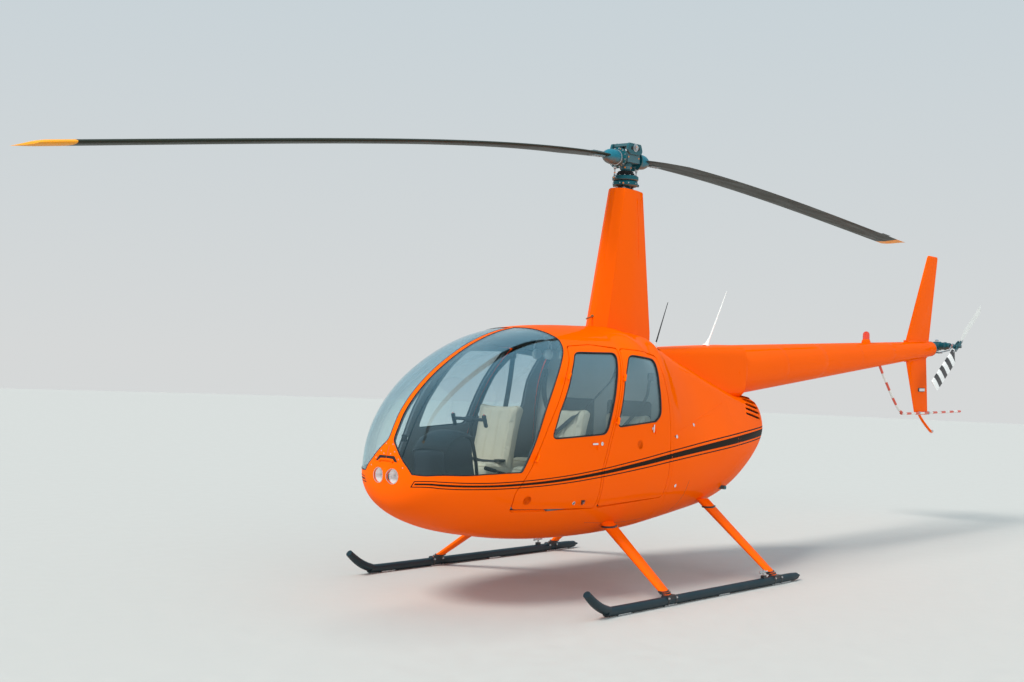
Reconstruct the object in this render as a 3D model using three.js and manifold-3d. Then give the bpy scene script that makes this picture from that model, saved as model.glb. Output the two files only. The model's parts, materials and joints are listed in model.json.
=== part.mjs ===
// A light four-seat helicopter, parked on its skids, as an assembly of its real pieces.
// Millimetres. +X forward, +Y port, +Z up. The origin is on the ground under the middle of the
// whole length. All places below are measured from the rotor mast's axis, at ground height.
import * as THREE from "three";
import { mergeVertices } from "three/addons/utils/BufferGeometryUtils.js";
import Module from "manifold-3d";

const wasm = await Module();
wasm.setup();

// Driving dimensions
const MAST_X = 755.5; // the mast's axis ahead of the origin
const GAP = 0.3; // between pieces that touch
const WALL = 22; // cabin wall and door
const COWL_WALL = 12;
const PANE = 6;
const DOOR_GAP = 5; // round a door
const DOOR_EASE = { x: 9, z: 5 }; // more room at the top back corner, which swings back as it opens
const TOP_BACK_CORNER = 2; // its place in each door's outline

const ROTOR_RADIUS = 5030;
const BLADE_CHORD = 254;
const BLADE_ROOT = 420; // where the blade leaves its pitch housing
const ROTOR_HEIGHT = 3150; // blade root above the ground
const BLADE_DROOP = [490, 325]; // tip under its own weight, forward blade first
const TEETER = THREE.MathUtils.degToRad(1.79); // forward blade down
const ROTOR_AZIMUTH = THREE.MathUtils.degToRad(2.63); // forward blade to port

const TAIL_ROTOR = { x: -5847, y: 225, z: 1927, radius: 735, chord: 130 };
const TAIL_BLADE_ANGLE = THREE.MathUtils.degToRad(-34); // forward blade down
const TAIL_BLADE_PITCH = THREE.MathUtils.degToRad(24);

const FIREWALL_X = 190; // back of the cabin
const TAIL_SEAM_X = -950; // engine cowl to tail cowl
const BOOM = { front: -1500, back: -5650, radiusFront: 215, radiusBack: 80, wall: 5 };
BOOM.zFront = 1569;
BOOM.zBack = 1889;
const BOOM_SLOPE = (BOOM.zBack - BOOM.zFront) / (BOOM.front - BOOM.back);

const SKID_Y = 1070;
const SKID_RADIUS = 30;
const SKID = { back: -940, bend: 1400, tip: 1714, rise: 165 };
const LEG_FRONT = { foot: [812, 1070], knee: [715, 440, 500] };
const LEG_BACK = { foot: [-580, 1070], knee: [-540, 440, 575] };
const FLOOR_TOP = 620;
const SEAT_Y = 300;

const PAINT = { color: 0xf26a0c, roughness: 0.3, metalness: 0.1 };
const SKID_PAINT = { color: 0x1c2733, roughness: 0.45, metalness: 0.2 };
const DARK_METAL = { color: 0x2f4450, roughness: 0.45, metalness: 0.7 };
const BLADE_PAINT = { color: 0x2b2e22, roughness: 0.5, metalness: 0.1 };
const BLACK = { color: 0x15171a, roughness: 0.6, metalness: 0.0 };
const STEEL = { color: 0x8d9296, roughness: 0.35, metalness: 0.9 };
const WHITE = { color: 0xe9e9e4, roughness: 0.4, metalness: 0.0 };
const RED = { color: 0xc8301c, roughness: 0.3, metalness: 0.0 };
const LEATHER = { color: 0xcdbb9d, roughness: 0.6, metalness: 0.0 };
const CARPET = { color: 0x3c4044, roughness: 0.9, metalness: 0.0 };
const GLASS = { color: 0x9fc2cf, roughness: 0.05, metalness: 0.0, transparent: true, opacity: 0.4 };

const helicopter = new THREE.Group();
helicopter.name = "helicopter";
helicopter.position.x = MAST_X;

// Solids

function solid(geometry) {
  const bare = geometry.clone();
  bare.deleteAttribute("normal");
  bare.deleteAttribute("uv");
  const merged = mergeVertices(bare, 1e-3);
  return new wasm.Manifold(
    new wasm.Mesh({
      numProp: 3,
      vertProperties: merged.attributes.position.array,
      triVerts: new Uint32Array(merged.index.array),
    }),
  );
}

function geometryOf(manifold) {
  const { vertProperties, triVerts } = manifold.getMesh();
  return new THREE.BufferGeometry()
    .setAttribute("position", new THREE.BufferAttribute(new Float32Array(vertProperties), 3))
    .setIndex(new THREE.BufferAttribute(new Uint32Array(triVerts), 1));
}

function join(...solids) {
  return solids.reduce((sum, next) => sum.add(next));
}

function place(name, shape, look, parent = helicopter) {
  const geometry = shape.isBufferGeometry ? shape : geometryOf(shape);
  const mesh = new THREE.Mesh(geometry, new THREE.MeshStandardMaterial(look));
  mesh.name = name;
  parent.add(mesh);
  return mesh;
}

// A closed skin over rings of points, each ring with the same count, ends capped. With mirror,
// the second half of each ring is split the other way, so that both halves match.
function loft(rings, mirror = false) {
  const sides = rings[0].length;
  const points = rings.flat();
  const faces = [];
  for (let ring = 0; ring + 1 < rings.length; ring++)
    for (let side = 0; side < sides; side++) {
      const a = ring * sides + side;
      const b = ring * sides + ((side + 1) % sides);
      if (mirror && side >= sides / 2) faces.push([a, b, a + sides], [b, b + sides, a + sides]);
      else faces.push([a, b, b + sides], [a, b + sides, a + sides]);
    }
  const last = (rings.length - 1) * sides;
  for (let side = 1; side + 1 < sides; side++)
    faces.push([0, side + 1, side], [last, last + side, last + side + 1]);
  const volume = faces.reduce((sum, [a, b, c]) => {
    const normal = new THREE.Vector3().crossVectors(points[b], points[c]);
    return sum + points[a].dot(normal);
  }, 0);
  const index = faces.flatMap(([a, b, c]) => (volume > 0 ? [a, b, c] : [a, c, b]));
  const geometry = new THREE.BufferGeometry().setFromPoints(points);
  return geometry.setIndex(index);
}

// A box between two corners.
function box(low, high) {
  const size = high.map((value, axis) => value - low[axis]);
  const middle = high.map((value, axis) => (value + low[axis]) / 2);
  return new THREE.BoxGeometry(...size).translate(...middle);
}

// A round bar between two points, with a radius at each end.
function bar(from, to, radiusFrom, radiusTo = radiusFrom, sides = 12) {
  const start = new THREE.Vector3(...from);
  const end = new THREE.Vector3(...to);
  const along = end.clone().sub(start);
  const geometry = new THREE.CylinderGeometry(radiusTo, radiusFrom, along.length(), sides);
  const turn = new THREE.Quaternion().setFromUnitVectors(
    new THREE.Vector3(0, 1, 0),
    along.normalize(),
  );
  const middle = start.add(end).multiplyScalar(0.5);
  return geometry.applyQuaternion(turn).translate(middle.x, middle.y, middle.z);
}

// A round tube along a curve.
function tube(points, radius, steps, sides = 10) {
  const curve = new THREE.CatmullRomCurve3(
    points.map((point) => new THREE.Vector3(...point)),
    false,
    "centripetal",
  );
  const section = new THREE.Shape();
  for (let side = 0; side < sides; side++) {
    const angle = (2 * Math.PI * side) / sides;
    const method = side ? "lineTo" : "moveTo";
    section[method](radius * Math.cos(angle), radius * Math.sin(angle));
  }
  return new THREE.ExtrudeGeometry(section, { steps, extrudePath: curve, curveSegments: 1 });
}

// An outline with each sharp corner rounded off by an arc-like curve.
const SHARP = THREE.MathUtils.degToRad(35);
function roundedShape(points, radius) {
  const corners = points.map(([x, y]) => new THREE.Vector2(x, y));
  const shape = new THREE.Shape();
  corners.forEach((corner, i) => {
    const before = corners[(i + corners.length - 1) % corners.length];
    const after = corners[(i + 1) % corners.length];
    const reach = (other) =>
      corner.clone().lerp(other, Math.min(0.45, radius / corner.distanceTo(other)));
    const turn = corner.clone().sub(before).angleTo(after.clone().sub(corner));
    const start = turn > SHARP ? reach(before) : corner;
    if (i) shape.lineTo(start.x, start.y);
    else shape.moveTo(start.x, start.y);
    if (turn <= SHARP) return;
    const end = reach(after);
    shape.quadraticCurveTo(corner.x, corner.y, end.x, end.y);
  });
  return shape;
}

// The same outline drawn smaller, its corners moved in along their bisectors.
function inset(points, distance) {
  const area = points.reduce((sum, [x, y], i) => {
    const [nextX, nextY] = points[(i + 1) % points.length];
    return sum + x * nextY - nextX * y;
  }, 0);
  const inward = area > 0 ? 1 : -1;
  const normal = ([x0, y0], [x1, y1]) => {
    const length = Math.hypot(x1 - x0, y1 - y0);
    return [(-inward * (y1 - y0)) / length, (inward * (x1 - x0)) / length];
  };
  return points.map((point, i) => {
    const n0 = normal(points[(i + points.length - 1) % points.length], point);
    const n1 = normal(point, points[(i + 1) % points.length]);
    const scale = distance / (1 + n0[0] * n1[0] + n0[1] * n1[1]);
    return [point[0] + (n0[0] + n1[0]) * scale, point[1] + (n0[1] + n1[1]) * scale];
  });
}

// A prism whose outline is drawn from the side, in X and Z, between two Y.
function sidePrism(shape, yLow, yHigh, curveSegments = 2) {
  return new THREE.ExtrudeGeometry(shape, {
    depth: yHigh - yLow,
    bevelEnabled: false,
    curveSegments,
  })
    .rotateX(Math.PI / 2)
    .translate(0, yHigh, 0);
}

// A prism whose outline is drawn from the front, in Y and Z, between two X.
function frontPrism(shape, xLow, xHigh) {
  return new THREE.ExtrudeGeometry(shape, {
    depth: xHigh - xLow,
    bevelEnabled: false,
    curveSegments: 1,
  })
    .rotateX(Math.PI / 2)
    .rotateZ(Math.PI / 2)
    .translate(xLow, 0, 0);
}

// The other side of the helicopter.
function mirrored(geometry) {
  const copy = geometry.index ? geometry.toNonIndexed() : geometry.clone();
  const flat = new THREE.BufferGeometry().setAttribute("position", copy.getAttribute("position"));
  flat.scale(1, -1, 1);
  const array = flat.getAttribute("position").array;
  for (let i = 0; i < array.length; i += 9)
    for (let k = 0; k < 3; k++)
      [array[i + 3 + k], array[i + 6 + k]] = [array[i + 6 + k], array[i + 3 + k]];
  return flat;
}

const SIDES = [
  { side: "left", flip: (geometry) => geometry, sign: 1 },
  { side: "right", flip: mirrored, sign: -1 },
];

// Fuselage form: sections along X. Above and below the widest height each section is a
// superellipse, and behind the cabin its top blends into a ridge with straight flanks.
// Columns: x, bottom, top, half width, widest height, upper power, lower power,
// ridge half width, ridge height, ridge share
const BODY = [
  [2425, 790, 870, 30, 830, 2.0, 2.0, 0, 0, 0],
  [2405, 705, 990, 170, 830, 2.1, 2.0, 0, 0, 0],
  [2360, 630, 1100, 270, 830, 2.3, 2.0, 0, 0, 0],
  [2280, 570, 1245, 360, 840, 2.5, 2.0, 0, 0, 0],
  [2140, 510, 1395, 455, 850, 2.6, 2.05, 0, 0, 0],
  [1950, 455, 1538, 535, 870, 2.7, 2.15, 0, 0, 0],
  [1700, 410, 1675, 595, 890, 2.75, 2.3, 0, 0, 0],
  [1420, 375, 1776, 635, 920, 2.8, 2.4, 0, 0, 0],
  [1100, 355, 1830, 655, 950, 2.8, 2.5, 0, 0, 0],
  [700, 350, 1850, 660, 970, 2.8, 2.5, 0, 0, 0],
  [300, 365, 1840, 655, 980, 2.8, 2.5, 380, 1740, 0],
  [0, 395, 1790, 640, 990, 2.6, 2.5, 360, 1720, 0.6],
  [-400, 435, 1640, 600, 1000, 2.3, 2.4, 345, 1605, 1],
  [-800, 480, 1515, 540, 1020, 2.1, 2.3, 330, 1485, 1],
  [-1150, 560, 1415, 460, 1050, 2.0, 2.2, 310, 1385, 1],
  [-1450, 690, 1385, 375, 1080, 2.1, 2.1, 270, 1330, 0.8],
  [-1650, 820, 1380, 300, 1100, 2.4, 2.0, 220, 1310, 0.5],
  [-1780, 950, 1325, 205, 1110, 2.5, 2.0, 150, 1265, 0.3],
  [-1840, 1050, 1200, 50, 1120, 2.0, 2.0, 30, 1160, 0],
];
const BODY_SIDES = 24;

// One section between the table's rows, by a smooth curve through each column.
function section(row) {
  const i = Math.min(Math.floor(row), BODY.length - 2);
  const t = row - i;
  const [p0, p1, p2, p3] = [i - 1, i, i + 1, i + 2].map(
    (k) => BODY[THREE.MathUtils.clamp(k, 0, BODY.length - 1)],
  );
  return p1.map(
    (value, k) =>
      0.5 *
      (2 * value +
        (p2[k] - p0[k]) * t +
        (2 * p0[k] - 5 * value + 4 * p2[k] - p3[k]) * t * t +
        (3 * value - p0[k] - 3 * p2[k] + p3[k]) * t * t * t),
  );
}

// The ridged top: flank to ridge, a rounded corner, then ridge to centre line.
function ridgePoint(share, [, , top, width, middle, , , ridgeY, ridgeZ]) {
  const turn = 0.62; // share of the way round at which the flank meets the ridge
  const round = 0.12;
  const flank = (f) => [width + ((ridgeY - width) * f) / turn, middle + ((ridgeZ - middle) * f) / turn];
  const roof = (f) => [
    (ridgeY * (1 - f)) / (1 - turn),
    top + ((ridgeZ - top) * (1 - f)) / (1 - turn),
  ];
  if (share < turn - round) return flank(share);
  if (share > turn + round) return roof(share);
  const [a, b, c] = [flank(turn - round), [ridgeY, ridgeZ], roof(turn + round)];
  const t = (share - turn + round) / (2 * round);
  return [0, 1].map((k) => (1 - t) ** 2 * a[k] + 2 * t * (1 - t) * b[k] + t * t * c[k]);
}

// A point of the fuselage skin: angle -90 degrees is the keel, 0 the port side, 90 the top.
function skinPoint(row, angle) {
  const values = section(THREE.MathUtils.clamp(row, 0, BODY.length - 1));
  const [x, bottom, top, width, middle, upper, lower, , , ridge] = values;
  let around = angle;
  let sign = 1;
  if (Math.abs(angle) > Math.PI / 2) {
    around = Math.sign(angle) * Math.PI - angle;
    sign = -1;
  }
  const c = Math.abs(Math.cos(around));
  const s = Math.sin(around);
  const power = s >= 0 ? upper : lower;
  const height = s >= 0 ? top - middle : middle - bottom;
  let y = width * c ** (2 / power);
  let z = middle + height * Math.sign(s) * Math.abs(s) ** (2 / power);
  if (s > 0 && ridge > 0) {
    const [ridgeY, ridgeZ] = ridgePoint(around / (Math.PI / 2), values);
    y += (ridgeY - y) * ridge;
    z += (ridgeZ - z) * ridge;
  }
  return new THREE.Vector3(x, sign * y, z);
}

function skinNormal(row, angle) {
  const step = 0.02;
  const last = BODY.length - 1;
  const [low, high] = [Math.max(row - step, 0), Math.min(row + step, last)];
  const alongBody = skinPoint(high, angle).sub(skinPoint(low, angle));
  const around = skinPoint(row, angle + step).sub(skinPoint(row, angle - step));
  return alongBody.cross(around).normalize();
}

// The fuselage form moved in by a depth, or out by a negative one.
function bodyForm(depth) {
  const rings = BODY.map((_, row) =>
    Array.from({ length: BODY_SIDES }, (_, side) => {
      const angle = -Math.PI / 2 + (2 * Math.PI * side) / BODY_SIDES;
      const turned = angle > Math.PI ? angle - 2 * Math.PI : angle;
      const normal = skinNormal(row, turned);
      return skinPoint(row, turned).addScaledVector(normal, -depth);
    }),
  );
  return solid(loft(rings, true));
}

const outerForm = bodyForm(0);
const wallForm = bodyForm(WALL);
const cowlForm = bodyForm(COWL_WALL);
const clearForm = bodyForm(-GAP);

// Outlines on the side of the cabin, in X and Z
const WINDSHIELD_SIDE = [
  [2600, 850],
  [2390, 850],
  [2014, 864],
  [1776, 872],
  [1685, 1046],
  [1584, 1256],
  [1471, 1430],
  [1363, 1561],
  [1272, 1655],
  [1235, 1740],
  [1255, 2100],
  [2600, 2100],
];
// The nose piece between the panes, in Y and Z: the part of each pane's outline near the middle
const WINDSHIELD_FRONT = [
  [20, 2100],
  [20, 1085],
  [32, 1045],
  [89, 983],
  [136, 930],
  [180, 886],
  [208, 840],
  [900, 840],
  [900, 2100],
];
const FRONT_DOOR = [
  [1219, 1692],
  [980, 1711],
  [690, 1697],
  [857, 1338],
  [971, 1069],
  [1040, 870],
  [1030, 605],
  [1800, 612],
  [1818, 740],
  [1712, 900],
  [1566, 1173],
  [1352, 1497],
  [1262, 1612],
];
const FRONT_DOOR_ROUND = 30;
const REAR_DOOR = [
  [675, 1696],
  [430, 1682],
  [245, 1655],
  [232, 1200],
  [232, 640],
  [1010, 605],
  [1020, 870],
  [952, 1069],
  [838, 1338],
];
const REAR_DOOR_ROUND = 30;
const FRONT_WINDOW = [
  [1180, 1655],
  [740, 1662],
  [855, 1439],
  [983, 1149],
  [1015, 1106],
  [1545, 1080],
  [1464, 1256],
  [1281, 1531],
];
const REAR_WINDOW = [
  [615, 1655],
  [300, 1628],
  [345, 1445],
  [360, 1230],
  [430, 1186],
  [890, 1150],
  [752, 1475],
];
const WINDOW_ROUND = 50;
// Hinge pins of the port doors: two points on each axis, with the knuckles' places
const FRONT_HINGE = { low: [1679, 622, 959], high: [1368, 606, 1487] };
const REAR_HINGE = { low: [898, 674, 1196], high: [768, 622, 1491] };
const HINGE = { radius: 8, length: 50, arm: 4.5, reach: 16, sink: 9 };

const OUTSIDE = 900; // past the widest point
const INSIDE = 150; // well inside the cabin's side wall

function sideCut(points, distance, radius) {
  return sidePrism(roundedShape(inset(points, distance), radius), INSIDE, OUTSIDE);
}

function windshieldCut(distance) {
  const side = sidePrism(roundedShape(inset(WINDSHIELD_SIDE, distance), 12), distance, OUTSIDE, 1);
  const front = frontPrism(roundedShape(inset(WINDSHIELD_FRONT, distance), 8), 1000, 2700);
  return solid(side).intersect(solid(front));
}

function bothSides(build) {
  return SIDES.map(({ flip }) => solid(flip(geometryOf(build))));
}

// Half width of the fuselage skin at a place seen from the side.
function sideY(x, z) {
  let [low, high] = [0, BODY.length - 1];
  for (let step = 0; step < 30; step++) {
    const row = (low + high) / 2;
    if (section(row)[0] > x) low = row;
    else high = row;
  }
  let [below, above] = [-Math.PI / 2, Math.PI / 2];
  for (let step = 0; step < 30; step++) {
    const angle = (below + above) / 2;
    if (skinPoint(low, angle).z < z) below = angle;
    else above = angle;
  }
  return skinPoint(low, below).y;
}

// A knuckle is half on the body and half on the door, one above the other on the same pin.
function knuckle(hinge, place, half) {
  const low = new THREE.Vector3(...hinge.low);
  const axis = new THREE.Vector3(...hinge.high).sub(low);
  const middle = low.clone().addScaledVector(axis, place);
  axis.normalize();
  const start = middle.clone().addScaledVector(axis, half === "door" ? GAP : -HINGE.length / 2);
  const end = middle.clone().addScaledVector(axis, half === "door" ? HINGE.length / 2 : -GAP);
  const toward = half === "door" ? -1 : 1; // the door lies behind the pin
  const barrel = solid(bar(start.toArray(), end.toArray(), HINGE.radius));
  const root = start.clone().add(end).multiplyScalar(0.5);
  const seat = root.clone();
  seat.x += toward * HINGE.reach;
  seat.y = sideY(seat.x, seat.z) - HINGE.sink;
  return barrel.add(solid(bar(root.toArray(), seat.toArray(), HINGE.arm, HINGE.arm, 8)));
}

function knuckles(hinge, half) {
  return join(knuckle(hinge, 0, half), knuckle(hinge, 1, half));
}

// Cabin
const cabinZone = solid(box([FIREWALL_X + GAP, -OUTSIDE, 0], [2600, OUTSIDE, 2000]));
const cabinRoom = solid(box([FIREWALL_X + WALL, -OUTSIDE, 0], [2600, OUTSIDE, 2000]));

function cabinShell() {
  let shell = outerForm.intersect(cabinZone).subtract(wallForm.intersect(cabinRoom));
  const openings = [
    windshieldCut(0),
    solid(sideCut(FRONT_DOOR, 0, FRONT_DOOR_ROUND)),
    solid(sideCut(REAR_DOOR, 0, REAR_DOOR_ROUND)),
  ];
  for (const opening of openings)
    for (const cut of bothSides(opening)) shell = shell.subtract(cut);
  for (const hinge of [FRONT_HINGE, REAR_HINGE])
    for (const piece of bothSides(knuckles(hinge, "body"))) shell = shell.add(piece);
  return shell.subtract(lampSeats());
}

const LAMP = { x: 2385, z: 832, y: [-62, 62], radius: 48, depth: 60 };

function lampBar(y, radius) {
  return solid(bar([LAMP.x - LAMP.depth, y, LAMP.z], [LAMP.x + 60, y, LAMP.z], radius, radius, 20));
}

function lampSeats() {
  return join(...LAMP.y.map((y) => lampBar(y, LAMP.radius + GAP)));
}

// Each door's lower front corner drops as it opens, so it is cut clear of the sill.
const DOOR_HEEL = solid(box([1450, INSIDE, 500], [1900, OUTSIDE, 634])).add(
  solid(box([850, INSIDE, 500], [1035, OUTSIDE, 620])),
);

function door(outline, radius, windowOutline, hinge) {
  const eased = outline.map(([x, z], i) =>
    i === TOP_BACK_CORNER ? [x + DOOR_EASE.x, z - DOOR_EASE.z] : [x, z],
  );
  const leaf = outerForm
    .subtract(wallForm)
    .intersect(solid(sideCut(eased, DOOR_GAP, radius)))
    .subtract(DOOR_HEEL)
    .subtract(solid(sideCut(windowOutline, 0, WINDOW_ROUND)));
  return leaf.add(knuckles(hinge, "door"));
}

function pane(outline) {
  const depth = (WALL - PANE) / 2;
  return bodyForm(depth)
    .subtract(bodyForm(depth + PANE))
    .intersect(solid(sideCut(outline, GAP, WINDOW_ROUND)));
}

function windshield() {
  return outerForm.subtract(bodyForm(PANE)).intersect(windshieldCut(GAP));
}

const DOORS = [
  { row: "front", outline: FRONT_DOOR, round: FRONT_DOOR_ROUND, glass: FRONT_WINDOW, hinge: FRONT_HINGE },
  { row: "rear", outline: REAR_DOOR, round: REAR_DOOR_ROUND, glass: REAR_WINDOW, hinge: REAR_HINGE },
];
place("cabin_shell", cabinShell(), PAINT);
for (const { side, flip } of SIDES) {
  place(`windshield_${side}`, flip(geometryOf(windshield())), GLASS);
  for (const { row, outline, round, glass, hinge } of DOORS) {
    const leaf = door(outline, round, glass, hinge);
    place(`door_${row}_${side}`, flip(geometryOf(leaf)), PAINT);
    place(`window_${row}_${side}`, flip(geometryOf(pane(glass))), GLASS);
  }
}

// Nose lamps, each a short drum set in its seat
for (const [i, name] of ["landing_light_right", "landing_light_left"].entries()) {
  const drum = lampBar(LAMP.y[i], LAMP.radius).intersect(outerForm);
  place(name, drum, STEEL);
}

// Cowls behind the firewall
const louvres = { count: 5, top: 1310, pitch: 44, height: 16, xLow: -1900, xHigh: -1540 };

function cowl(xLow, xHigh, room) {
  const zone = solid(box([xLow, -OUTSIDE, 0], [xHigh, OUTSIDE, 2000]));
  const space = solid(box(...room));
  return outerForm.intersect(zone).subtract(cowlForm.intersect(space));
}

const boomCutter = solid(boomTube(GAP, false));
// The belly is open below the engine, for its cooling air.
const bellyOpening = solid(box([-820, -230, 300], [-300, 230, 620]));
const ENGINE = { low: [-900, -330, 640], high: [-260, 330, 950], rails: [-820, -340], railZ: 652 };
const engineRoom = [
  [TAIL_SEAM_X - 50, -OUTSIDE, 0],
  [FIREWALL_X + 60, OUTSIDE, 2000],
];
const engineCowl = cowl(TAIL_SEAM_X + GAP, FIREWALL_X, engineRoom).subtract(bellyOpening);
place("engine_cowl", engineCowl, PAINT);

const tailRoom = [
  [-2000, -OUTSIDE, 0],
  [TAIL_SEAM_X + 50, OUTSIDE, 2000],
];
let tailCowl = cowl(-2000, TAIL_SEAM_X, tailRoom);
for (let i = 0; i < louvres.count; i++) {
  const z = louvres.top - i * louvres.pitch;
  const half = louvres.height / 2;
  const slot = box([louvres.xLow, 60, z - half], [louvres.xHigh, 330, z + half]);
  for (const cut of bothSides(solid(slot))) tailCowl = tailCowl.subtract(cut);
}
tailCowl = tailCowl.subtract(boomCutter);
place("tail_cowl", tailCowl, PAINT);

// Tail boom: a tapered round tube. As a cutter it is solid and a little larger.
function boomTube(clearance, hollow = true) {
  const length = BOOM.front - BOOM.back;
  const back = BOOM.radiusBack + clearance;
  const front = BOOM.radiusFront + clearance;
  const bore = [
    [BOOM.radiusFront - BOOM.wall, length],
    [BOOM.radiusBack - BOOM.wall, 0],
    [back, 0],
  ];
  const cap = [
    [front, length + clearance],
    [0, length + clearance],
  ];
  const profile = hollow
    ? [[back, 0], [front, length], ...bore]
    : [[0, -clearance], [back, -clearance], [back, 0], [front, length], ...cap];
  return new THREE.LatheGeometry(
    profile.map(([radius, along]) => new THREE.Vector2(radius, along)),
    28,
  )
    .rotateZ(-Math.PI / 2)
    .rotateY(Math.atan(BOOM_SLOPE))
    .translate(BOOM.back, 0, BOOM.zBack);
}
place("tail_boom", solid(boomTube(0)), PAINT);

// Fairing over the boom's root, from the mast fairing back to the tube
// Columns: x, half width, bottom, top, corner radius
const ROOT_FAIRING = [
  [-347, 148, 1500, 1722, 60],
  [-700, 190, 1380, 1742, 75],
  [-1100, 212, 1330, 1765, 90],
  [-1500 + GAP, 218, 1345, 1786, 120],
];

function roundedRing(x, halfWidth, bottom, top, radius) {
  const shape = roundedShape(
    [
      [halfWidth, bottom],
      [halfWidth, top],
      [-halfWidth, top],
      [-halfWidth, bottom],
    ],
    radius,
  );
  return shape.getPoints(4).map(({ x: y, y: z }) => new THREE.Vector3(x, y, z));
}
function rootFairing(depth) {
  const rings = ROOT_FAIRING.map(([x, half, bottom, top, radius]) =>
    roundedRing(x, half - depth, bottom - depth, top - depth, radius),
  );
  return solid(loft(rings));
}
const fairingRoom = rootFairing(COWL_WALL);
const fairing = rootFairing(0).subtract(fairingRoom).subtract(clearForm).subtract(boomCutter);
place("boom_root_fairing", fairing, PAINT);

// Mast fairing: a tall open pylon with a chamfered front
// Columns: z, front x, back x, front half width, x of the chamfer, half width there, back half width
const MAST_FAIRING = [
  [1500, 430, -346, 50, 362, 125, 52],
  [1840, 372, -346, 45, 304, 102, 44],
  [2915, 153, -207, 36, 103, 78, 30],
];
const MAST_FAIRING_WALL = 8;

function pylonRing([z, front, back, frontHalf, chamferX, half, backHalf], depth) {
  const waist = (chamferX + back) / 2;
  const outline = [
    [front, frontHalf],
    [chamferX, half],
    [waist, half * 0.93],
    [back, backHalf],
    [back, -backHalf],
    [waist, -half * 0.93],
    [chamferX, -half],
    [front, -frontHalf],
  ];
  return inset(outline, depth).map(([x, y]) => new THREE.Vector3(x, y, z));
}

function pylon(depth, reach) {
  const rings = MAST_FAIRING.map((row) => pylonRing(row, depth));
  rings.at(-1).forEach((point) => (point.z += reach));
  return solid(loft(rings));
}
const mastFairing = pylon(0, 0).subtract(pylon(MAST_FAIRING_WALL, 5)).subtract(clearForm);
place("mast_fairing", mastFairing, PAINT);
place("pitot_tube", solid(bar([345, 0, 1935], [425, 0, 1911], 6)).subtract(pylon(-GAP, 0)), STEEL);

// Fixed mast and the swashplate's fixed ring, which stand on the roof inside the fairing
const SWASH_Z = 2985;
place("mast_tube", solid(bar([0, 0, 1750], [0, 0, 3010], 38, 38, 20)).subtract(clearForm), DARK_METAL);
const ring = (inner, outer, low, high) =>
  new THREE.LatheGeometry(
    [
      [inner, low],
      [outer, low],
      [outer, high],
      [inner, high],
      [inner, low],
    ].map(([radius, z]) => new THREE.Vector2(radius, z)),
    24,
  ).rotateX(Math.PI / 2);
place("swashplate_fixed", solid(ring(38.8, 95, SWASH_Z - 45, SWASH_Z - GAP)), DARK_METAL);

// Rotor, turning about the mast. It is parked with the forward blade down.
const rotor = new THREE.Group();
rotor.rotation.z = ROTOR_AZIMUTH;
helicopter.add(rotor);
place("swashplate_rotating", solid(ring(52, 100, SWASH_Z, SWASH_Z + 36)), DARK_METAL, rotor);
place("rotor_shaft", bar([0, 0, 3010 + GAP], [0, 0, 3120 - GAP], 36, 36, 20), DARK_METAL, rotor);

const teetering = new THREE.Group();
teetering.position.z = ROTOR_HEIGHT;
teetering.rotation.y = TEETER;
rotor.add(teetering);
const hub = join(
  solid(box([-105, -62, -28], [105, 62, 30])),
  solid(box([-70, -48, 20], [70, 48, 125])),
  solid(bar([0, -85, 85], [0, 85, 85], 26, 26, 16)),
);
place("rotor_hub", hub, DARK_METAL, teetering);

function droop(radius, tip) {
  const s = radius / ROTOR_RADIUS;
  return (tip * s * s * (6 - 4 * s + s * s)) / 3;
}

// Blade section, nose ahead of the pitch axis in +Y, as shares of the chord
const BLADE_SECTION = [
  [0.25, 0.0],
  [0.2, 0.045],
  [0.05, 0.062],
  [-0.3, 0.035],
  [-0.75, 0.003],
  [-0.75, -0.003],
  [-0.3, -0.035],
  [0.05, -0.055],
  [0.2, -0.035],
];

function blade(tip) {
  const stations = [BLADE_ROOT, 560, 1000, 1600, 2200, 2800, 3400, 4000, 4600, ROTOR_RADIUS];
  const rings = stations.map((radius) => {
    const chord = radius < 500 ? BLADE_CHORD * 0.55 : BLADE_CHORD;
    const z = droop(BLADE_ROOT, tip) - droop(radius, tip);
    return BLADE_SECTION.map(
      ([along, up]) => new THREE.Vector3(radius, along * chord, up * chord + z),
    );
  });
  return solid(loft(rings));
}

for (const [i, number] of ["1", "2"].entries()) {
  const arm = new THREE.Group();
  arm.rotation.z = i * Math.PI;
  teetering.add(arm);
  const housing = join(
    solid(bar([105 + GAP, 0, 0], [250, 0, 0], 62, 58, 20)),
    solid(bar([250, 0, 0], [BLADE_ROOT - GAP, 0, 0], 58, 34, 20)),
    solid(bar([150, 0, -10], [150, 140, -30], 16, 12, 10)),
  );
  place(`pitch_housing_${number}`, housing, DARK_METAL, arm);
  place(`rotor_blade_${number}`, blade(BLADE_DROOP[i]), BLADE_PAINT, arm);
}
for (const [i, number] of ["1", "2"].entries()) {
  const arm = new THREE.Group();
  arm.rotation.z = i * Math.PI;
  rotor.add(arm);
  const top = ROTOR_HEIGHT - 43 - (i ? -1 : 1) * 150 * Math.sin(TEETER);
  place(`pitch_link_${number}`, bar([88, 24, SWASH_Z + 42], [150, 128, top - 4], 7), STEEL, arm);
}

// Fins over and under the boom's end, and the stabilizer on its starboard side
const FIN_Y = { low: -18, high: 18 };

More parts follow.
